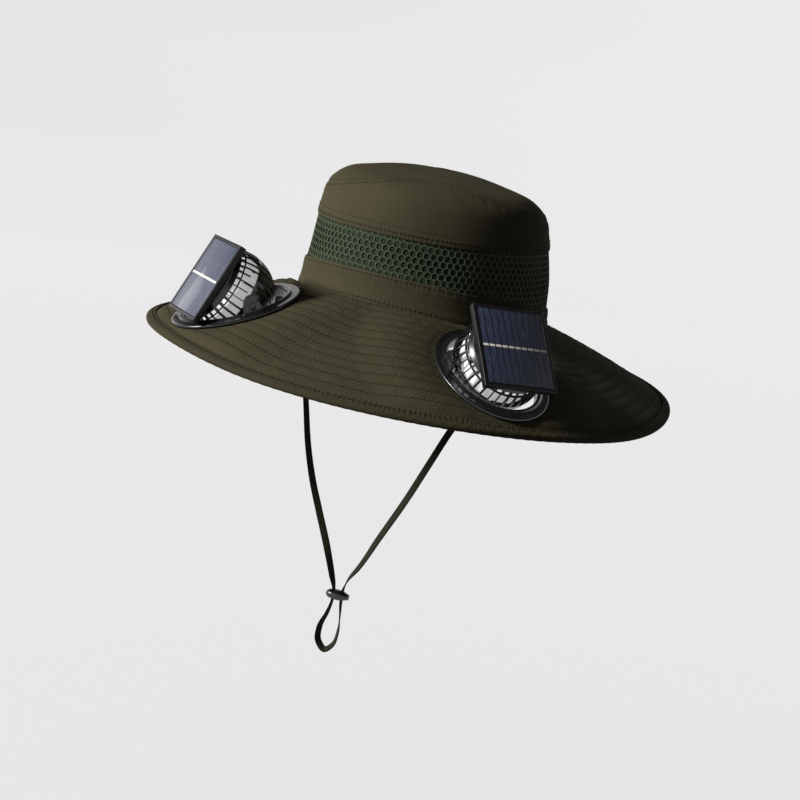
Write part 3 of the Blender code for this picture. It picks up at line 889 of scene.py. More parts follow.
    @staticmethod
    def offset(surface: Surface, angle: np.ndarray, across: np.ndarray, distance: np.ndarray) -> np.ndarray:
        """Points of a surface moved along its normal, outwards for a positive distance."""
        step = 1e-5
        normal = HatForm.normals(surface, angle, across, step)
        return surface(angle, across) + normal * np.asarray(distance)[..., None]

    @staticmethod
    def normals(surface: Surface, angle: np.ndarray, across: np.ndarray, step: float = 1e-5) -> np.ndarray:
        """Unit normals of a surface."""
        near, far = surface(angle - step, across), surface(angle + step, across)
        low, high = surface(angle, across - step), surface(angle, across + step)
        normal = np.cross(far - near, high - low)
        return normal / np.linalg.norm(normal, axis=-1, keepdims=True)


@dataclass(frozen=True)
class StitchRow:
    """Rows of thread stitches laid along lines on a surface."""

    length: float = 0.0027
    pitch: float = 0.0036
    radius: float = 0.00021
    look_ahead: float = 0.001

    def laid(
        self, name: str, lines: list[tuple[np.ndarray, np.ndarray]], keep: Callable[[np.ndarray], np.ndarray]
    ) -> bpy.types.Object:
        """Lay stitches.

        Args:
            name: the joined object's name.
            lines: closed lines, each as its points and their normals.
            keep: tells for each place whether a stitch is laid there.

        Returns:
            The joined stitches.
        """
        spots, axes = [], []
        for points, normals in lines:
            run = run_of(points)
            count = int(run[-1] / self.pitch)
            at = (np.arange(count) + 0.5) * run[-1] / count
            spot = read_along(at, run, points)
            up = read_along(at, run, normals)
            forth = read_along(at + self.look_ahead, run, points) - spot
            forth[-1] = forth[-2]
            forth /= np.linalg.norm(forth, axis=1, keepdims=True)
            side = np.cross(up, forth)
            chosen = keep(spot)
            spots.append(spot[chosen])
            axes.append(np.stack([forth, side, up], axis=1)[chosen])
        bpy.ops.object.select_all(action="DESELECT")
        bpy.ops.mesh.primitive_uv_sphere_add(segments=5, ring_count=3, radius=1.0)
        model = started("stitch")
        shape = np.array([self.length / 2, self.radius * 1.3, self.radius])
        move_points(model, points_of(model)[:, [2, 0, 1]] * shape)
        return scatter(name, model, np.concatenate(spots), np.concatenate(axes))


def everywhere(spots: np.ndarray) -> np.ndarray:
    """Keep all places."""
    return np.ones(len(spots), dtype=bool)


@dataclass
class Crown:
    """The crown: base band, net over its backing, upper side and tip."""

    form: HatForm
    columns: int = 300
    wall: float = 0.0018
    hem: float = 0.0004
    hem_width: float = 0.0070
    cells_round: int = 112
    cell_rise: float = 0.0046
    thread_share: float = 0.00042
    seam_rise: float = 0.0002
    overlap: float = 0.0012
    girth: float = 0.63
    net_girth: float = 0.6
    net_spare: float = 0.003

    def around(self, along: np.ndarray) -> np.ndarray:
        """Angle round the hat, with the closing seam at the back."""
        return (along - 0.5) * tau

    def foot(self, angle: np.ndarray) -> np.ndarray:
        """Length up the side at the seam with the brim."""
        return self.form.length_at(self.form.seam(angle) + self.seam_rise)

    def mesh_foot(self, angle: np.ndarray) -> np.ndarray:
        """Length up the side at the lower edge of the net."""
        form = self.form
        return form.length_at(form.mesh_foot + form.mesh_foot_wave * np.cos(angle - form.mesh_foot_crest))

    def mesh_top(self, angle: np.ndarray) -> np.ndarray:
        """Length up the side at the upper edge of the net."""
        return self.form.length_at(self.form.mesh_top * np.ones_like(angle))

    def tip_seam(self, angle: np.ndarray) -> np.ndarray:
        """Length up the side at the seam of side and tip."""
        form = self.form
        return form.length_at(form.tip_seam + form.tip_seam_wave * np.cos(2 * (angle - form.tip_seam_crest)))

    def band(
        self,
        name: str,
        low: Callable[[np.ndarray], np.ndarray],
        high: Callable[[np.ndarray], np.ndarray],
        rows: int,
        proud: float,
        puckers: float,
    ) -> bpy.types.Object:
        """A closed cloth band of the crown.

        Args:
            name: the piece's name.
            low: its lower edge as a length up the side, from the angle.
            high: its upper edge.
            rows: faces from edge to edge on the outside.
            proud: how far its outside stands over the crown's surface.
            puckers: height of the wrinkles along its upper edge.

        Returns:
            The band.
        """
        back = max(rows // 3, 2)
        share = np.concatenate([np.linspace(0, 1, rows + 1), [1], np.linspace(1, 0, back + 1), [0, 0]])
        depth = np.concatenate([np.zeros(rows + 1), [0.5], np.ones(back + 1), [0.5, 0]])
        section = np.stack([share, depth], axis=1)

        def lengths(along: np.ndarray, across: np.ndarray) -> tuple[np.ndarray, ...]:
            """Angle, length up the side and both edges."""
            angle = self.around(along)
            part, _ = read_section(section, across)
            lower, upper = low(angle), high(angle)
            return angle, lower + (upper - lower) * part, lower, upper

        def place(along: np.ndarray, across: np.ndarray) -> np.ndarray:
            """Points of the band."""
            angle, length, lower, upper = lengths(along, across)
            _, inward = read_section(section, across)
            edge = np.minimum(length - lower, upper - length)
            raised = self.hem * (1 - fade((edge - self.hem_width + 0.001) / 0.002))
            wrinkle = np.sin(angle * 67 + 2 * np.sin(angle * 11)) * np.exp(-(((upper - length) / 0.007) ** 2))
            relief = proud + raised - 0.0003 * np.exp(-((edge / 0.0006) ** 2)) + puckers * wrinkle
            return self.form.offset(self.form.crown, angle, length, relief - inward * self.wall)

        def cloth_map(along: np.ndarray, across: np.ndarray) -> np.ndarray:
            """Metres round and up."""
            _, length, _, _ = lengths(along, across)
            return np.stack([along * self.girth, length], axis=-1)

        def edge_map(along: np.ndarray, across: np.ndarray) -> np.ndarray:
            """Metres from both edges."""
            _, length, lower, upper = lengths(along, across)
            return np.stack([length - lower, upper - length], axis=-1)

        maps = {"cloth": cloth_map, "edges": edge_map}
        item = wrap(name, self.columns, len(section) - 1, place, maps)
        smooth(item, 60)
        return item

    def tip(self) -> bpy.types.Object:
        """The cloth cap inside the tip seam."""
        end = self.form.curve[0][-1] - 1e-7
        return self.band("tip_cloth", self.tip_seam, lambda angle: np.full_like(angle, end), 48, 0.0002, 0.0)

    def net(self) -> bpy.types.Object:
        """The net of hexagonal holes, laid on the crown between the cloth bands."""
        lowest = np.array([self.form.mesh_foot_crest + pi])
        low_length = float(self.mesh_foot(lowest)[0]) - self.net_spare
        high_length = float(self.mesh_top(np.zeros(1))[0]) + self.net_spare
        pairs = int((high_length - low_length) / (2 * self.cell_rise)) + 1
        pitch = self.net_girth / self.cells_round
        halves = []
        for number in (0, 1):
            bpy.ops.object.select_all(action="DESELECT")
            bpy.ops.mesh.primitive_circle_add(vertices=6, radius=1.0, fill_type="NGON")
            cell = started(f"net_cell_{number}")
            flat = points_of(cell)
            flat *= (pitch / 2 / cos(radians(30)), self.cell_rise * 2 / 3, 1.0)
            flat += (pitch * number / 2, self.cell_rise * number, 0.0)
            move_points(cell, flat)
            halves.append(cell)
        item = join("mesh_net", halves)
        for count, step in ((self.cells_round, (pitch, 0.0, 0.0)), (pairs, (0.0, 2 * self.cell_rise, 0.0))):
            finish_with(
                item,
                "ARRAY",
                count=count,
                use_relative_offset=False,
                use_constant_offset=True,
                constant_offset_displace=step,
            )
        edit(
            item,
            lambda: bpy.ops.mesh.remove_doubles(threshold=1e-5),
            lambda: bpy.ops.mesh.inset(thickness=self.thread_share, use_individual=True),
            lambda: bpy.ops.mesh.delete(type="FACE"),
        )
        centres = face_centres(item)
        angle = centres[:, 0] / self.net_girth * tau
        length = centres[:, 1] + low_length
        beyond = (length < self.mesh_foot(angle) - 0.002) | (length > high_length - 0.001)
        delete_faces(item, beyond)
        flat = points_of(item)
        angle, length = flat[:, 0] / self.net_girth * tau, flat[:, 1] + low_length
        move_points(item, self.form.offset(self.form.crown, angle, length, np.full_like(angle, -0.0002)))
        weld(item)
        finish_with(item, "SOLIDIFY", thickness=0.0007, offset=-1.0)
        smooth(item, 50)
        return item

    def seams(self) -> bpy.types.Object:
        """Stitches along the edges of the cloth bands, a row for each line: edge, inset, height."""
        angle = np.linspace(-pi, pi, 900)
        lines = []
        for edge, inset, proud in (
            (self.mesh_foot, -0.0024, 0.0009),
            (self.mesh_top, 0.0024, 0.0009),
            (self.mesh_top, 0.0062, 0.0009),
            (self.tip_seam, -0.0022, 0.0004),
            (self.tip_seam, 0.0022, 0.0004),
        ):
            length = edge(angle) + inset
            points = self.form.offset(self.form.crown, angle, length, np.full_like(angle, proud))
            lines.append((points, self.form.normals(self.form.crown, angle, length)))
        stitch = StitchRow(length=0.0024, pitch=0.0033, radius=0.00022)
        return stitch.laid("crown_stitches", lines, everywhere)

    def build(self) -> None:
        """Build and dress the crown."""
        cloth = Cloth("crown_cloth", pucker=0.2).made()

        def base_top(angle: np.ndarray) -> np.ndarray:
            """Upper edge of the base band, over the net."""
            return self.mesh_foot(angle) + self.overlap

        def side_foot(angle: np.ndarray) -> np.ndarray:
            """Lower edge of the upper side, over the net."""
            return self.mesh_top(angle) - self.overlap

        base = self.band("base_band_cloth", self.foot, base_top, 22, 0.0006, 0.00015)
        side = self.band("side_cloth", side_foot, self.tip_seam, 34, 0.0004, 0.00022)
        dress(base, cloth, Slot.CLOTH, "hat", "crown_base_band")
        dress(side, cloth, Slot.CLOTH, "hat", "crown_side")
        dress(self.tip(), cloth, Slot.CLOTH, "hat", "crown_tip")
        backing = self.band("net_backing", self.mesh_foot, self.mesh_top, 12, -0.0011, 0.0)
        dress(backing, Backing().made(), Slot.NET, "hat", "mesh_band")
        dress(self.net(), Net().made(), Slot.NET, "hat")
        dress(self.seams(), Thread().made(), Slot.CLOTH, "hat")


@dataclass
class Brim:
    """The quilted brim with its stitched rows and bound rim."""

    form: HatForm
    columns: int = 440
    top_rows: int = 104
    under_rows: int = 40
    row_pitch: float = 0.0093
    puff: float = 0.0008
    binding_wall: float = 0.0011
    reach: float = 0.93
    rim_girth: float = 1.33
    tape_width: float = 0.03
    rows: int = 11
    root_row: float = 0.0042
    rim_row: float = 0.0105
    seam_inset: float = 0.0018

    def relief(self, angle: np.ndarray, metres: np.ndarray, points: np.ndarray) -> np.ndarray:
        """Height of the quilting over the cloth's face."""
        phase = (metres / self.row_pitch) % 1.0
        rows = np.sin(pi * phase) ** 0.6
        bunch = 1 + 0.22 * np.sin(angle * 61 + 3 * np.floor(metres / self.row_pitch)) * np.sin(pi * phase)
        pressed = fade((self.form.under_plate(points) - 1.03) / 0.10)
        held = fade((self.form.binding_root * self.form.brim_width + 0.001 - metres) / 0.0015)
        rooted = fade(metres / 0.002)
        return self.puff * (rows * bunch - 0.25) * pressed * held * rooted

    def cloth(self) -> bpy.types.Object:
        """The brim's cloth, one closed shell."""
        form = self.form
        edge = 1.0 - (self.binding_wall + form.gap) / form.brim_width
        share = np.concatenate(
            [np.linspace(0, edge, self.top_rows + 1), np.linspace(edge, 0, self.under_rows + 1), [0]]
        )
        face = np.concatenate([np.ones(self.top_rows + 1), -np.ones(self.under_rows + 1), [1]])
        section = np.stack([share, face], axis=1)

        def place(along: np.ndarray, across: np.ndarray) -> np.ndarray:
            """Points of both faces."""
            angle = (along - 0.5) * tau
            part, side = read_section(section, across)
            middle = form.brim(angle, part)
            relief = self.relief(angle, part * form.brim_width, middle)
            return form.offset(form.brim, angle, part, np.sign(side) * (form.cloth / 2 + relief))

        def cloth_map(along: np.ndarray, across: np.ndarray) -> np.ndarray:
            """Metres round and across."""
            part, _ = read_section(section, across)
            radius = form.half_width + part * form.brim_width * self.reach
            return np.stack([(along - 0.5) * tau * radius, part * form.brim_width], axis=-1)

        def edge_map(along: np.ndarray, across: np.ndarray) -> np.ndarray:
            """Metres from the root and from the rim."""
            part, _ = read_section(section, across)
            return np.stack([part * form.brim_width, (1 - part) * form.brim_width], axis=-1)

        maps = {"cloth": cloth_map, "edges": edge_map}
        item = wrap("brim_cloth", self.columns, len(section) - 1, place, maps)
        for fan in form.fans:
            plate = form.plate
            hole = add_cylinder(f"collar_hole_{fan.side.value}", 1.0, -0.008, 0.008, 96)
            spare = plate.collar + form.gap
            oval = (plate.window_half_width + spare, plate.window_half_length + spare, 1.0)
            move_points(hole, points_of(hole) * oval)
            settle(hole, form.fan_frame(fan))
            cut(item, hole)
        smooth(item, 60)
        return item

    def stitches(self) -> bpy.types.Object:
        """The thread of the quilted rows."""
        form = self.form
        angle = np.linspace(-pi, pi, 1400)
        rows = [*np.arange(1, self.rows + 1) * self.row_pitch, self.root_row, form.brim_width - self.rim_row]
        lines = []
        for metres in rows:
            share = np.full_like(angle, metres / form.brim_width)
            middle = form.brim(angle, share)
            relief = self.relief(angle, share * form.brim_width, middle)
            points = form.offset(form.brim, angle, share, form.cloth / 2 + relief + 0.00012)
            lines.append((points, form.normals(form.brim, angle, share)))
        return StitchRow().laid("brim_stitches", lines, lambda spots: form.under_plate(spots) > 1.02)

    def binding(self) -> bpy.types.Object:
        """The folded tape over the rim."""
        form = self.form
        out, inside = form.cloth / 2 + form.gap + self.binding_wall, form.cloth / 2 + form.gap
        root, centre = form.binding_root, 1.0 - out / form.brim_width
        flat = np.linspace(root, centre, 8)
        turn = np.linspace(0, pi, 11)[1:-1]
        share = np.concatenate(
            [
                flat,
                centre + out / form.brim_width * np.sin(turn),
                flat[::-1],
                [root, root, centre, centre, root, root, root],
            ]
        )
        height = np.concatenate(
            [
                np.full(8, out),
                out * np.cos(turn),
                np.full(8, -out),
                [-out * 0.8, -inside, -inside, inside, inside, out * 0.8, out],
            ]
        )
        section = np.stack([share, height], axis=1)

        def place(along: np.ndarray, across: np.ndarray) -> np.ndarray:
            """Points of the tape's section round the rim."""
            angle = (along - 0.5) * tau
            part, rise = read_section(section, across)
            ripple = 0.00022 * np.sin(angle * 151 + part * 90) * np.abs(rise) / out
            soft = np.sign(rise) * 0.0003 * np.sin(pi * np.clip((part - root) / (1 - root), 0, 1))
            return form.offset(form.brim, angle, part, rise + ripple + soft)

        def edge_map(along: np.ndarray, across: np.ndarray) -> np.ndarray:
            """Metres from the tape's own edge, and a length that is past any other edge."""
            part, _ = read_section(section, across)
            return np.stack([(part - root) * form.brim_width, np.full_like(part, 0.02)], axis=-1)

        def cloth_map(along: np.ndarray, across: np.ndarray) -> np.ndarray:
            """Metres round and across."""
            return np.stack([along * self.rim_girth, across * self.tape_width], axis=-1)

        maps = {"cloth": cloth_map, "edges": edge_map}
        item = wrap("binding_tape", self.columns, len(section) - 1, place, maps)
        smooth(item, 60)
        return item

    def binding_stitches(self) -> bpy.types.Object:
        """The thread that holds the binding, on both faces."""
        form = self.form
        angle = np.linspace(-pi, pi, 1400)
        lines = []
        for sign in (1, -1):
            share = np.full_like(angle, form.binding_root + self.seam_inset / form.brim_width)
            height = np.full_like(angle, sign * (form.cloth / 2 + form.gap + self.binding_wall + 0.00025))
            points = form.offset(form.brim, angle, share, height)
            lines.append((points, form.normals(form.brim, angle, share)))
        return StitchRow().laid("binding_stitches", lines, everywhere)

    def build(self) -> None:
        """Build and dress the brim."""
        quilt = Cloth("brim_cloth", row_pitch=self.row_pitch, pucker=0.28).made()
        tape = Cloth(
            "binding_cloth",
            colour=(0.0600, 0.0530, 0.0300),
            dark=(0.040, 0.035, 0.0195),
            seam_inset=self.seam_inset,
            pucker=0.25,
        ).made()
        thread = Thread().made()
        dress(self.cloth(), quilt, Slot.CLOTH, "hat", "brim")
        dress(self.binding(), tape, Slot.BINDING, "hat", "brim_binding")
        dress(self.stitches(), thread, Slot.CLOTH, "hat")
        dress(self.binding_stitches(), thread, Slot.BINDING, "hat")


@dataclass
class SolarFan:
    """One solar fan: base plate, tilting cage with its panel, and the impeller inside."""

    form: HatForm
    fan: FanPlace
    black: bpy.types.Material
    dull_black: bpy.types.Material
    white: bpy.types.Material
    steel: bpy.types.Material
    ear_inside: float = 0.0355
    ear_thickness: float = 0.0032
    ear_half_width: float = 0.0056
    ball_radius: float = 0.0340
    ball_rise: float = 0.0045
    cage_wall: float = 0.0013
    cage_front: float = 0.0237
    neck_radius: float = 0.0285
    neck_foot: float = 0.0195
    vents: int = 34
    columns: int = 272
    panel_front: float = 0.0290
    panel_length: float = 0.0645
    panel_width: float = 0.0570
    panel_border: float = 0.0026
    recess: float = 0.0014
    cell_thickness: float = 0.0009
    hub_radius: float = 0.0060
    hub_low: float = 0.0011
    hub_top: float = 0.0083
    blade_root: float = 0.0050
    blades: int = 12
    blade_reach: float = 0.0288
    wheel_middle: float = 0.0058
    rim_width: float = 0.0110
    ear_top: float = 0.0183
    ear_foot: float = 0.0030
    ear_flare: tuple = (1.30, 1.45)
    # Rings of the cage from its neck down: what lies below each, and their heights over the pivot
    cage_rings: tuple = (
        (Opening.WALL, (0.0237, 0.0206, 0.0195)),
        (Opening.CELLS, (0.0188,)),
        (Opening.WALL, (0.0163,)),
        (Opening.VENTS, (0.0153, 0.0126, 0.0098, 0.0070)),
        (Opening.WALL, (0.0040, 0.0030, 0.0005, -0.0025, -0.0060, -0.0095, -0.0130, -0.0163, -0.0195)),
        (Opening.WALL, (-0.0222, -0.0247, -0.0267, -0.0281, -0.0290, -0.02945, -0.0295)),
    )

    @property
    def side(self) -> str:
        """The side's name."""
        return self.fan.side.value

    def ball(self, height: np.ndarray) -> np.ndarray:
        """Outer radius of the cage at a height over its pivot."""
        dome = np.sqrt(np.maximum(self.ball_radius**2 - (height - self.ball_rise) ** 2, 1e-14))
        share = np.clip((height - self.neck_foot) / (self.cage_front - self.neck_foot), 0, 1)
        return dome + (self.neck_radius - dome) * share

    def plate(self) -> bpy.types.Object:
        """The oval plate with its rounded rim, raised lip and collar.

        Its section's columns are the share of the way from the window to the rim, and the height.
        """
        size = self.form.plate
        section = np.array(
            (
                (0.90, 0.0013),
                (0.965, 0.0014),
                (0.992, 0.0019),
                (1.000, 0.0025),
                (0.990, 0.0031),
                (0.965, 0.0035),
                (0.930, 0.0038),
                (0.88, 0.0039),
                (0.76, 0.0039),
                (0.62, 0.0039),
                (0.48, 0.0040),
                (0.40, 0.0041),
                (0.33, 0.0045),
                (0.27, 0.0051),
                (0.20, 0.0054),
                (0.13, 0.0054),
                (0.06, 0.0051),
                (0.01, 0.0045),
                (0.0, 0.0038),
                (0.0, 0.0010),
                (0.0, -0.0028),
                (0.03, -0.0033),
                (0.12, -0.0033),
                (0.15, -0.0028),
                (0.15, 0.0010),
                (0.17, 0.0013),
                (0.50, 0.0013),
                (0.90, 0.0013),
            )
        )

        def place(along: np.ndarray, across: np.ndarray) -> np.ndarray:
            """Points of the oval rings."""
            out, height = read_section(section, across)
            wide = size.window_half_width + (size.half_width - size.window_half_width) * out
            long = size.window_half_length + (size.half_length - size.window_half_length) * out
            return oval(wide, long, along, height)

        item = wrap(f"plate_{self.side}", 128, len(section) - 1, place, {})
        smooth(item, 50)
        parts = [item]
        for sign in (-1, 1):
            parts.extend(self.ear(sign))
        made = join(f"plate_{self.side}", parts)
        settle(made, self.form.fan_frame(self.fan))
        return made

    def ear(self, sign: int) -> list[bpy.types.Object]:
        """One ear: a round-topped tab with a flared foot, and the head of its pin."""
        pivot = self.form.plate.pivot
        middle = self.ear_inside + self.ear_thickness / 2
        along = Matrix.Rotation(pi / 2, 4, "Y")
        round_at = self.ear_top - self.ear_half_width
        half = self.ear_thickness / 2
        top = add_cylinder("ear_top", self.ear_half_width, -half, half, 40)
        bevel(top, 0.0006)
        settle(top, Matrix.Translation((sign * middle, 0.0, round_at)) @ along)
        foot_size = (self.ear_thickness, 2 * self.ear_half_width, round_at - self.ear_foot)
        foot = add_box("ear_foot", foot_size, (0, 0, 0))
        points = points_of(foot)
        points[points[:, 2] < 0, :2] *= self.ear_flare
        move_points(foot, points)
        bevel(foot, 0.0006)
        settle(foot, Matrix.Translation((sign * middle, 0.0, (round_at + self.ear_foot) / 2)))
        pin = add_cylinder("pin_head", 0.0027, -0.0004, 0.0006, 32)
        bevel(pin, 0.0003)
        dimple = add_cylinder("pin_dimple", 0.0013, 0.0002, 0.0010, 24)
        cut(pin, dimple)
        face = Matrix.Translation((sign * (self.ear_inside + self.ear_thickness), 0.0, pivot))
        settle(pin, face @ Matrix.Rotation(sign * pi / 2, 4, "Y"))
        for part in (top, foot, pin):
            smooth(part, 40)
        return [top, foot, pin]

    def cage(self) -> bpy.types.Object:
        """The ball-shaped cage with its vents, cells and ribbed dome."""
        heights = np.array([height for _, rings in self.cage_rings for height in rings])
        kind_of_strip = np.array([kind.value for kind, rings in self.cage_rings for _ in rings])
        steps = len(heights) - 1

        def place(along: np.ndarray, across: np.ndarray) -> np.ndarray:
            """Points of the cage's rings."""
            (height,) = read_section(heights[:, None], across)
            ribbed = fade((0.0030 - height) / 0.002) * fade((height + 0.0290) / 0.006)
            wave = (0.5 - 0.5 * np.cos(along * tau * self.vents)) ** 0.5
            radius = self.ball(height) - 0.0007 * ribbed * wave
            return oval(radius, radius, along, height)

        item = wrap(f"cage_{self.side}", self.columns, steps, place, {})
        centres = face_centres(item)
        turn = np.arctan2(centres[:, 1], centres[:, 0]) / tau % 1.0
        strip = np.clip(np.searchsorted(-heights, -centres[:, 2]) - 1, 0, steps - 1)
        kinds = kind_of_strip[strip]
        small = (turn * self.vents + 0.0625) % 1.0 > 0.25
        large = (turn * self.vents + 0.0625) % 1.0 > 0.125
        in_cells, in_vents = kinds == Opening.CELLS.value, kinds == Opening.VENTS.value
        delete_faces(item, (in_cells & small) | (in_vents & large))
        finish_with(item, "SOLIDIFY", thickness=self.cage_wall, offset=-1.0, use_even_offset=True)
        parts = [item]
        for sign in (-1, 1):
            boss = add_cylinder("boss", 0.0042, 0.0290, self.ear_inside - self.form.gap, 32)
            bevel(boss, 0.0004)
            settle(boss, Matrix.Rotation(sign * pi / 2, 4, "Y"))
            parts.append(boss)
        back = self.cage_front - 0.0012
        flange = add_cylinder("flange", self.neck_radius + 0.0008, back, self.cage_front, 96)
        bore = add_cylinder("flange_bore", self.neck_radius - 0.0040, 0.0, 0.05, 96)
        cut(flange, bore)
        bevel(flange, 0.0003)
        parts.append(flange)
        made = join(f"cage_{self.side}", parts)
        smooth(made, 35)
        settle(made, self.form.fan_tilted(self.fan))
        return made

    def panel(self) -> bpy.types.Object:
        """The panel's frame: a rounded slab with a recess and a step along its back."""
        low = self.cage_front + self.form.gap
        depth = self.panel_front - low
        size = (self.panel_width, self.panel_length, depth)
        item = add_box(f"panel_{self.side}", size, (0.0, 0.0, low + depth / 2))
        centres = face_centres(item)
        select_faces(item, centres[:, 2] > self.panel_front - 1e-5)
        bpy.ops.mesh.inset(thickness=self.panel_border)
        bpy.ops.mesh.extrude_region_move(TRANSFORM_OT_translate={"value": (0.0, 0.0, -self.recess)})
        bpy.ops.object.mode_set(mode="OBJECT")
        centres = face_centres(item)
        select_faces(item, centres[:, 2] < low + 1e-5)
        bpy.ops.mesh.inset(thickness=0.0022)
        bpy.ops.mesh.extrude_region_move(TRANSFORM_OT_translate={"value": (0.0, 0.0, 0.0009)})
        bpy.ops.object.mode_set(mode="OBJECT")
        bevel(item, 0.0006, 3)
        smooth(item, 35)
        settle(item, self.form.fan_tilted(self.fan))
        return item

    def cell(self) -> tuple[bpy.types.Object, float]:
        """The cell plate under its resin, with a map in its own metres."""
        spare = 2 * (self.panel_border + self.form.gap)
        size = (self.panel_width - spare, self.panel_length - spare, self.cell_thickness)
        height = self.panel_front - self.recess + self.form.gap + self.cell_thickness / 2
        item = add_box(f"cell_{self.side}", size, (0.0, 0.0, height))
        bevel(item, 0.0002)
        write_map(item, "cloth", points_of(item)[:, :2])
        smooth(item, 35)
        settle(item, self.form.fan_tilted(self.fan))
        return item, size[0]

    def wheel_rim(self, along: np.ndarray, across: np.ndarray) -> np.ndarray:
        """Points of the light rim that joins the blades' tips."""
        radius = self.blade_reach + 0.0003 * np.sin(pi * across)
        height = self.wheel_middle + self.rim_width * (across - 0.40)
        return oval(radius, radius, along, height)

    def impeller(self) -> bpy.types.Object:
        """The impeller: a rounded hub, steep curved blades and the rim round them."""
        hub = add_cylinder("hub", self.hub_radius, self.hub_low, self.hub_top, 40)
        bevel(hub, 0.0012, 3)
        smooth(hub, 40)
        parts = [hub]
        for turn in np.arange(self.blades) * tau / self.blades:

            def place(along: np.ndarray, across: np.ndarray, turn: float = turn) -> np.ndarray:
                """Points of a blade."""
                radius = self.blade_root + (self.blade_reach - self.blade_root) * along
                pitch = radians(62) - radians(14) * along
                chord = (0.0110 + 0.0065 * along) * (across - 0.5)
                camber = 0.0016 * (1 - (2 * across - 1) ** 2)
                rise = chord * np.sin(pitch) + camber * np.cos(pitch)
                drift = chord * np.cos(pitch) - camber * np.sin(pitch)
                angle = turn + drift / radius + 0.5 * (radius - self.blade_root) / self.blade_reach
                return oval(radius, radius, angle / tau, rise + self.wheel_middle)

            blade = wrap("blade", 10, 8, place, {})
            finish_with(blade, "SOLIDIFY", thickness=0.0009, offset=0.0)
            smooth(blade, 40)
            parts.append(blade)
        rim = wrap("wheel_rim", 96, 4, self.wheel_rim, {})
        finish_with(rim, "SOLIDIFY", thickness=0.0008, offset=0.0)
        smooth(rim, 40)
        parts.append(rim)
        made = join(f"fan_wheel_{self.side}", parts)
        settle(made, self.form.fan_tilted(self.fan))
        return made

    def clamp(self) -> bpy.types.Object:
        """The ring under the brim, with rounded edges: a row for each corner, clearance and height."""
        size = self.form.plate
        near = size.collar + self.form.gap
        section = np.array(
            (
                (near, -0.0014),
                (near, -0.0031),
                (near + 0.0003, -0.0033),
                (near + 0.0037, -0.0033),
                (near + 0.0040, -0.0029),
                (near + 0.0040, -0.0014),
                (near, -0.0014),
            )
        )

        def place(along: np.ndarray, across: np.ndarray) -> np.ndarray:
            """Points of the ring."""
            spare, height = read_section(section, across)
            return oval(size.window_half_width + spare, size.window_half_length + spare, along, height)

        item = wrap(f"clamp_{self.side}", 128, len(section) - 1, place, {})
        smooth(item, 35)
        settle(item, self.form.fan_frame(self.fan))
        return item

    def build(self) -> None:
        """Build and dress the fan."""
        side = self.side
        carrier, wheel = f"fan_{side}", f"impeller_{side}"
        dress(self.plate(), self.black, Slot.BLACK, "hat", f"fan_base_{side}")
        dress(self.clamp(), self.black, Slot.BLACK, "hat", f"clamp_ring_{side}")
        dress(self.cage(), self.black, Slot.BLACK, carrier, f"fan_cage_{side}")
        dress(self.panel(), self.dull_black, Slot.BLACK, carrier, f"panel_frame_{side}")
        cell, width = self.cell()
        dress(cell, Cells(width).made(), Slot.CELL, carrier, f"solar_cell_{side}")
        dress(self.impeller(), self.white, Slot.WHITE, wheel, f"impeller_{side}")
        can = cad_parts[f"motor_{side}"]
        can.data.materials.clear()
        can.data.materials.append(self.steel)


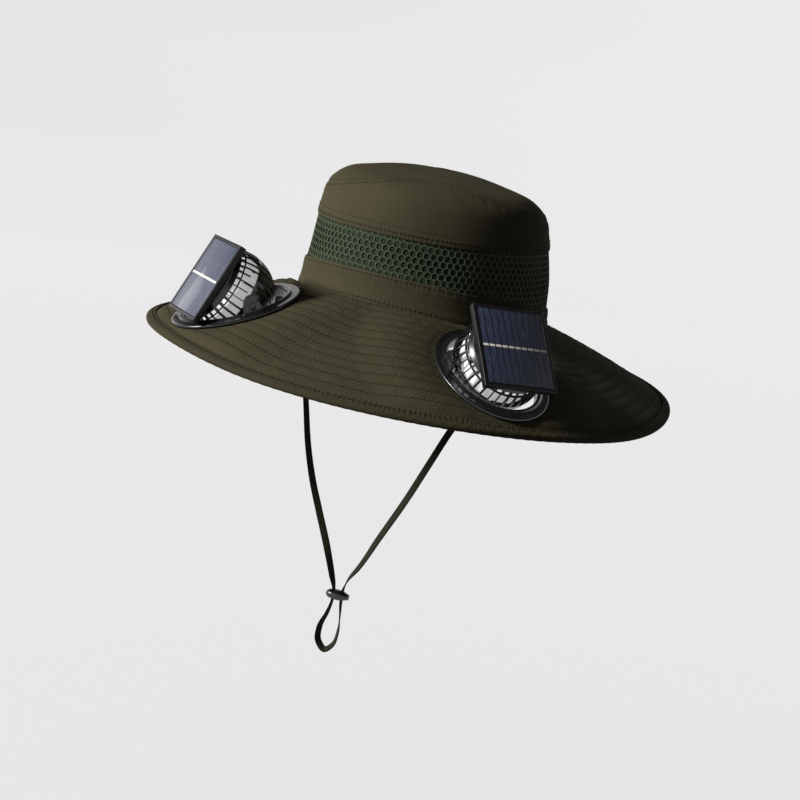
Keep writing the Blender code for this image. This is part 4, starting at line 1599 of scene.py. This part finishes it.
@dataclass
class Strap:
    """The chin strap's flat tape and the lock on it."""

    width: float = 0.0060
    thickness: float = 0.0010
    steps: int = 420
    lock_centre: tuple = (-0.0337, 0.0, -0.2555)
    lock_size: tuple = (0.0205, 0.0110, 0.0086)
    slot_size: tuple = (0.0030, 0.0076)
    slot_spacing: float = 0.0080
    bead_powers: tuple = (0.72, 0.85, 0.85)
    bead_taper: float = 0.22
    # Route of the tape's middle line: X, Z and the tape's turn about it in degrees
    route: tuple = (
        (-0.0957, 0.0080, 0),
        (-0.0964, 0.0020, 0),
        (-0.0968, -0.0080, 5),
        (-0.0966, -0.0400, 12),
        (-0.0927, -0.0720, 18),
        (-0.0871, -0.0980, 25),
        (-0.0791, -0.1360, 35),
        (-0.0713, -0.1620, 45),
        (-0.0613, -0.1875, 55),
        (-0.0505, -0.2140, 60),
        (-0.0412, -0.2400, 30),
        (-0.0379, -0.2500, 0),
        (-0.0377, -0.2610, 0),
        (-0.0402, -0.2720, 15),
        (-0.0455, -0.2880, 35),
        (-0.0448, -0.2995, 40),
        (-0.0382, -0.3060, 40),
        (-0.0313, -0.3000, 40),
        (-0.0284, -0.2880, 35),
        (-0.0287, -0.2730, 15),
        (-0.0297, -0.2610, 0),
        (-0.0295, -0.2500, 0),
        (-0.0265, -0.2405, 20),
        (-0.0191, -0.2280, 45),
        (-0.0051, -0.1980, 65),
        (0.0126, -0.1605, 75),
        (0.0270, -0.1265, 80),
        (0.0404, -0.0950, 80),
        (0.0600, -0.0580, 75),
        (0.0810, -0.0260, 50),
        (0.0918, -0.0105, 15),
        (0.0955, -0.0020, 0),
        (0.0963, 0.0020, 0),
        (0.0957, 0.0080, 0),
    )

    def line(self, count: int) -> tuple[np.ndarray, np.ndarray, float]:
        """Evenly spaced points of the strap's middle line, the tape's turn there, and its length."""
        route = np.array(self.route)
        knots = run_of(route[:, :2])
        at = np.linspace(0.0, knots[-1], count)
        x, z = smooth_value(knots, route[:, 0], at), smooth_value(knots, route[:, 1], at)
        turn = np.radians(np.interp(at, knots, route[:, 2]))
        return np.stack([x, np.zeros_like(x), z], axis=-1), turn, knots[-1]

    def tape(self) -> tuple[bpy.types.Object, np.ndarray, float]:
        """The tape, its middle line and its length."""
        line, turn, length = self.line(self.steps + 1)
        forth = np.gradient(line, axis=0)
        forth /= np.linalg.norm(forth, axis=1, keepdims=True)
        broad = np.array([0.0, 1.0, 0.0])
        thin = np.cross(forth, broad)
        turn = turn[:, None]
        across_axis = broad * np.cos(turn) + thin * np.sin(turn)
        through_axis = thin * np.cos(turn) - broad * np.sin(turn)
        half, skin = self.width / 2, self.thickness / 2
        flat, edge = half - skin, half - 0.00015
        face = np.array(
            (
                (-flat, -skin),
                (-flat / 2, -skin),
                (0.0, -skin),
                (flat / 2, -skin),
                (flat, -skin),
                (edge, -skin * 0.7),
                (half, 0.0),
                (edge, skin * 0.7),
            )
        )
        section = np.concatenate([face, -face, face[:1]])

        def place(along: np.ndarray, across: np.ndarray) -> np.ndarray:
            """Points of the tape's section along its line."""
            here = np.rint(along * self.steps).astype(int)
            wide, deep = read_section(section, across)[..., None]
            return line[here] + across_axis[here] * wide + through_axis[here] * deep

        def cloth_map(along: np.ndarray, across: np.ndarray) -> np.ndarray:
            """Metres along, and metres from the middle."""
            wide, _ = read_section(section, across)
            return np.stack([along * length, wide], axis=-1)

        item = wrap("strap_tape", self.steps, len(section) - 1, place, {"cloth": cloth_map})
        edit(
            item,
            lambda: bpy.ops.mesh.select_all(action="DESELECT"),
            lambda: bpy.ops.mesh.select_non_manifold(),
            lambda: bpy.ops.mesh.edge_face_add(),
        )
        smooth(item, 50)
        return item, line, length

    def lock(self) -> bpy.types.Object:
        """The lock: a flattened bead with a slot for each strand and a push button at one end."""
        bpy.ops.object.select_all(action="DESELECT")
        bpy.ops.mesh.primitive_uv_sphere_add(segments=64, ring_count=32, radius=1.0)
        item = started("lock_bead")
        points = points_of(item)[:, [2, 0, 1]]
        full = np.sign(points) * np.abs(points) ** self.bead_powers
        full[:, 1:] *= 1 - self.bead_taper * np.clip(points[:, :1], 0, 1)
        move_points(item, full * np.array(self.lock_size) / 2)
        weld(item)
        for sign in (-1, 1):
            size = (*self.slot_size, 2 * self.lock_size[2])
            cut(item, add_box("slot", size, (sign * self.slot_spacing / 2, 0.0, 0.0)))
        bevel(item, 0.00035)
        ring = add_cylinder("button", 0.0026, 0.0070, 0.0102, 40)
        bevel(ring, 0.0006, 3)
        settle(ring, Matrix.Rotation(pi / 2, 4, "Y"))
        made = join("lock_bead", [item, ring])
        smooth(made, 40)
        settle(made, Matrix.Translation(self.lock_centre))
        return made

    def build(self, black: bpy.types.Material) -> None:
        """Build and dress the strap and its lock."""
        tape, line, length = self.tape()
        dress(tape, Tape(self.width).made(), Slot.TAPE, "hat", "chin_strap")
        lock = dress(self.lock(), black, Slot.BLACK, "hat", "cord_lock")


@dataclass
class Studio:
    """Pale floor and sweep, soft lights and the camera."""

    distance: float = 1.25
    azimuth: float = radians(18)
    elevation: float = radians(9)
    roll: float = radians(9)
    lens: float = 1560 / 800 * 36.0
    aim_right: float = -0.0056
    aim_up: float = -0.0771
    floor: float = -1.0
    pale: tuple = (0.80, 0.80, 0.80)
    ground_glow: float = 0.70
    ground_grey: float = 0.10
    world_strength: float = 0.08

    def camera(self) -> None:
        """The camera at the photograph's angle."""
        view = Vector(
            (
                sin(self.azimuth) * cos(self.elevation),
                -cos(self.azimuth) * cos(self.elevation),
                sin(self.elevation),
            )
        )
        right = Vector((cos(self.azimuth), sin(self.azimuth), 0.0))
        up = view.cross(right)
        eye = view * self.distance
        back = (eye - right * self.aim_right - up * self.aim_up).normalized()
        level = Vector((0.0, 0.0, 1.0)).cross(back).normalized()
        rise = back.cross(level)
        x = level * cos(self.roll) + rise * sin(self.roll)
        y = rise * cos(self.roll) - level * sin(self.roll)
        data = bpy.data.cameras.new("camera")
        data.lens = self.lens
        data.sensor_width = 36.0
        data.clip_start = 0.05
        item = bpy.data.objects.new("camera", data)
        item.matrix_world = Matrix.Translation(eye) @ Matrix((x, y, back)).transposed().to_4x4()
        bpy.context.scene.collection.objects.link(item)
        bpy.context.scene.camera = item

    def light(self, name: str, kind: str, towards: tuple, distance: float, size: float, power: float) -> None:
        """A soft light that faces the hat.

        Args:
            name: its name.
            kind: SUN or AREA.
            towards: direction from the hat to the light.
            distance: how far off it stands.
            size: an area's side, or a sun's angle in degrees.
            power: watts, or a sun's strength.
        """
        data = bpy.data.lights.new(name, kind)
        if kind == "SUN":
            data.angle = radians(size)
        else:
            data.size = size
        data.energy = power
        direction = Vector(towards).normalized()
        item = bpy.data.objects.new(name, data)
        turn = direction.to_track_quat("Z", "Y").to_matrix().to_4x4()
        item.matrix_world = Matrix.Translation(direction * distance) @ turn
        bpy.context.scene.collection.objects.link(item)

    def sweep(self) -> None:
        """A round floor that rises softly to the horizon."""
        profile = np.array(((0.0, 0.0), (7.0, 0.0), (9.0, 0.3), (10.5, 1.2), (11.2, 2.6), (11.5, 7.0)))
        knots = run_of(profile)

        def place(along: np.ndarray, across: np.ndarray) -> np.ndarray:
            """Points of the floor and its rim."""
            run = (1 - across) * knots[-1] + 1e-7
            radius, height = read_along(run, knots, profile).T
            return oval(radius, radius, along, height + self.floor)

        item = wrap("floor", 96, 60, place, {})
        look = Look("floor", (self.ground_grey,) * 3, 0.9)
        look.put("Emission Color", (1.0, 1.0, 1.0, 1.0))
        look.shader.inputs["Emission Strength"].default_value = self.ground_glow
        item.data.materials.append(look.material)
        smooth(item, 60)
        item.visible_diffuse = False
        item.visible_shadow = False

    def build(self) -> None:
        """Set the studio up."""
        self.sweep()
        self.camera()
        world = bpy.data.worlds.new("studio")
        world.use_nodes = True
        background = world.node_tree.nodes["Background"].inputs
        background["Color"].default_value = (*self.pale, 1.0)
        background["Strength"].default_value = self.world_strength
        bpy.context.scene.world = world
        bpy.context.scene.view_settings.view_transform = "Standard"
        self.light("key", "SUN", (-0.88, -0.66, 0.46), distance=3.0, size=12.0, power=5.0)
        self.light("left_box", "AREA", (-0.946, 0.318, 0.045), distance=1.66, size=0.44, power=1.1)


def main() -> None:
    """Build the hat piece by piece."""
    logging.basicConfig(level=logging.INFO, format="%(name)s %(message)s")
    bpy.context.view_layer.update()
    form = HatForm()
    black = Moulding("black_moulding", (0.010, 0.010, 0.011), 0.26, coat=0.35).made()
    dull_black = Moulding("frame_moulding", (0.009, 0.009, 0.010), 0.42, mirror=0.25).made()
    # The impellers' white plastic has a painted glow, so that it shows as light behind the vents.
    white = Moulding("white_moulding", (0.80, 0.80, 0.79), 0.4, painted_glow=0.45).made()
    steel = Steel().made()
    Studio().build()
    Strap().build(black)
    Crown(form).build()
    Brim(form).build()
    for fan in form.fans:
        SolarFan(form, fan, black, dull_black, white, steel).build()


if __name__ == "__main__":
    main()
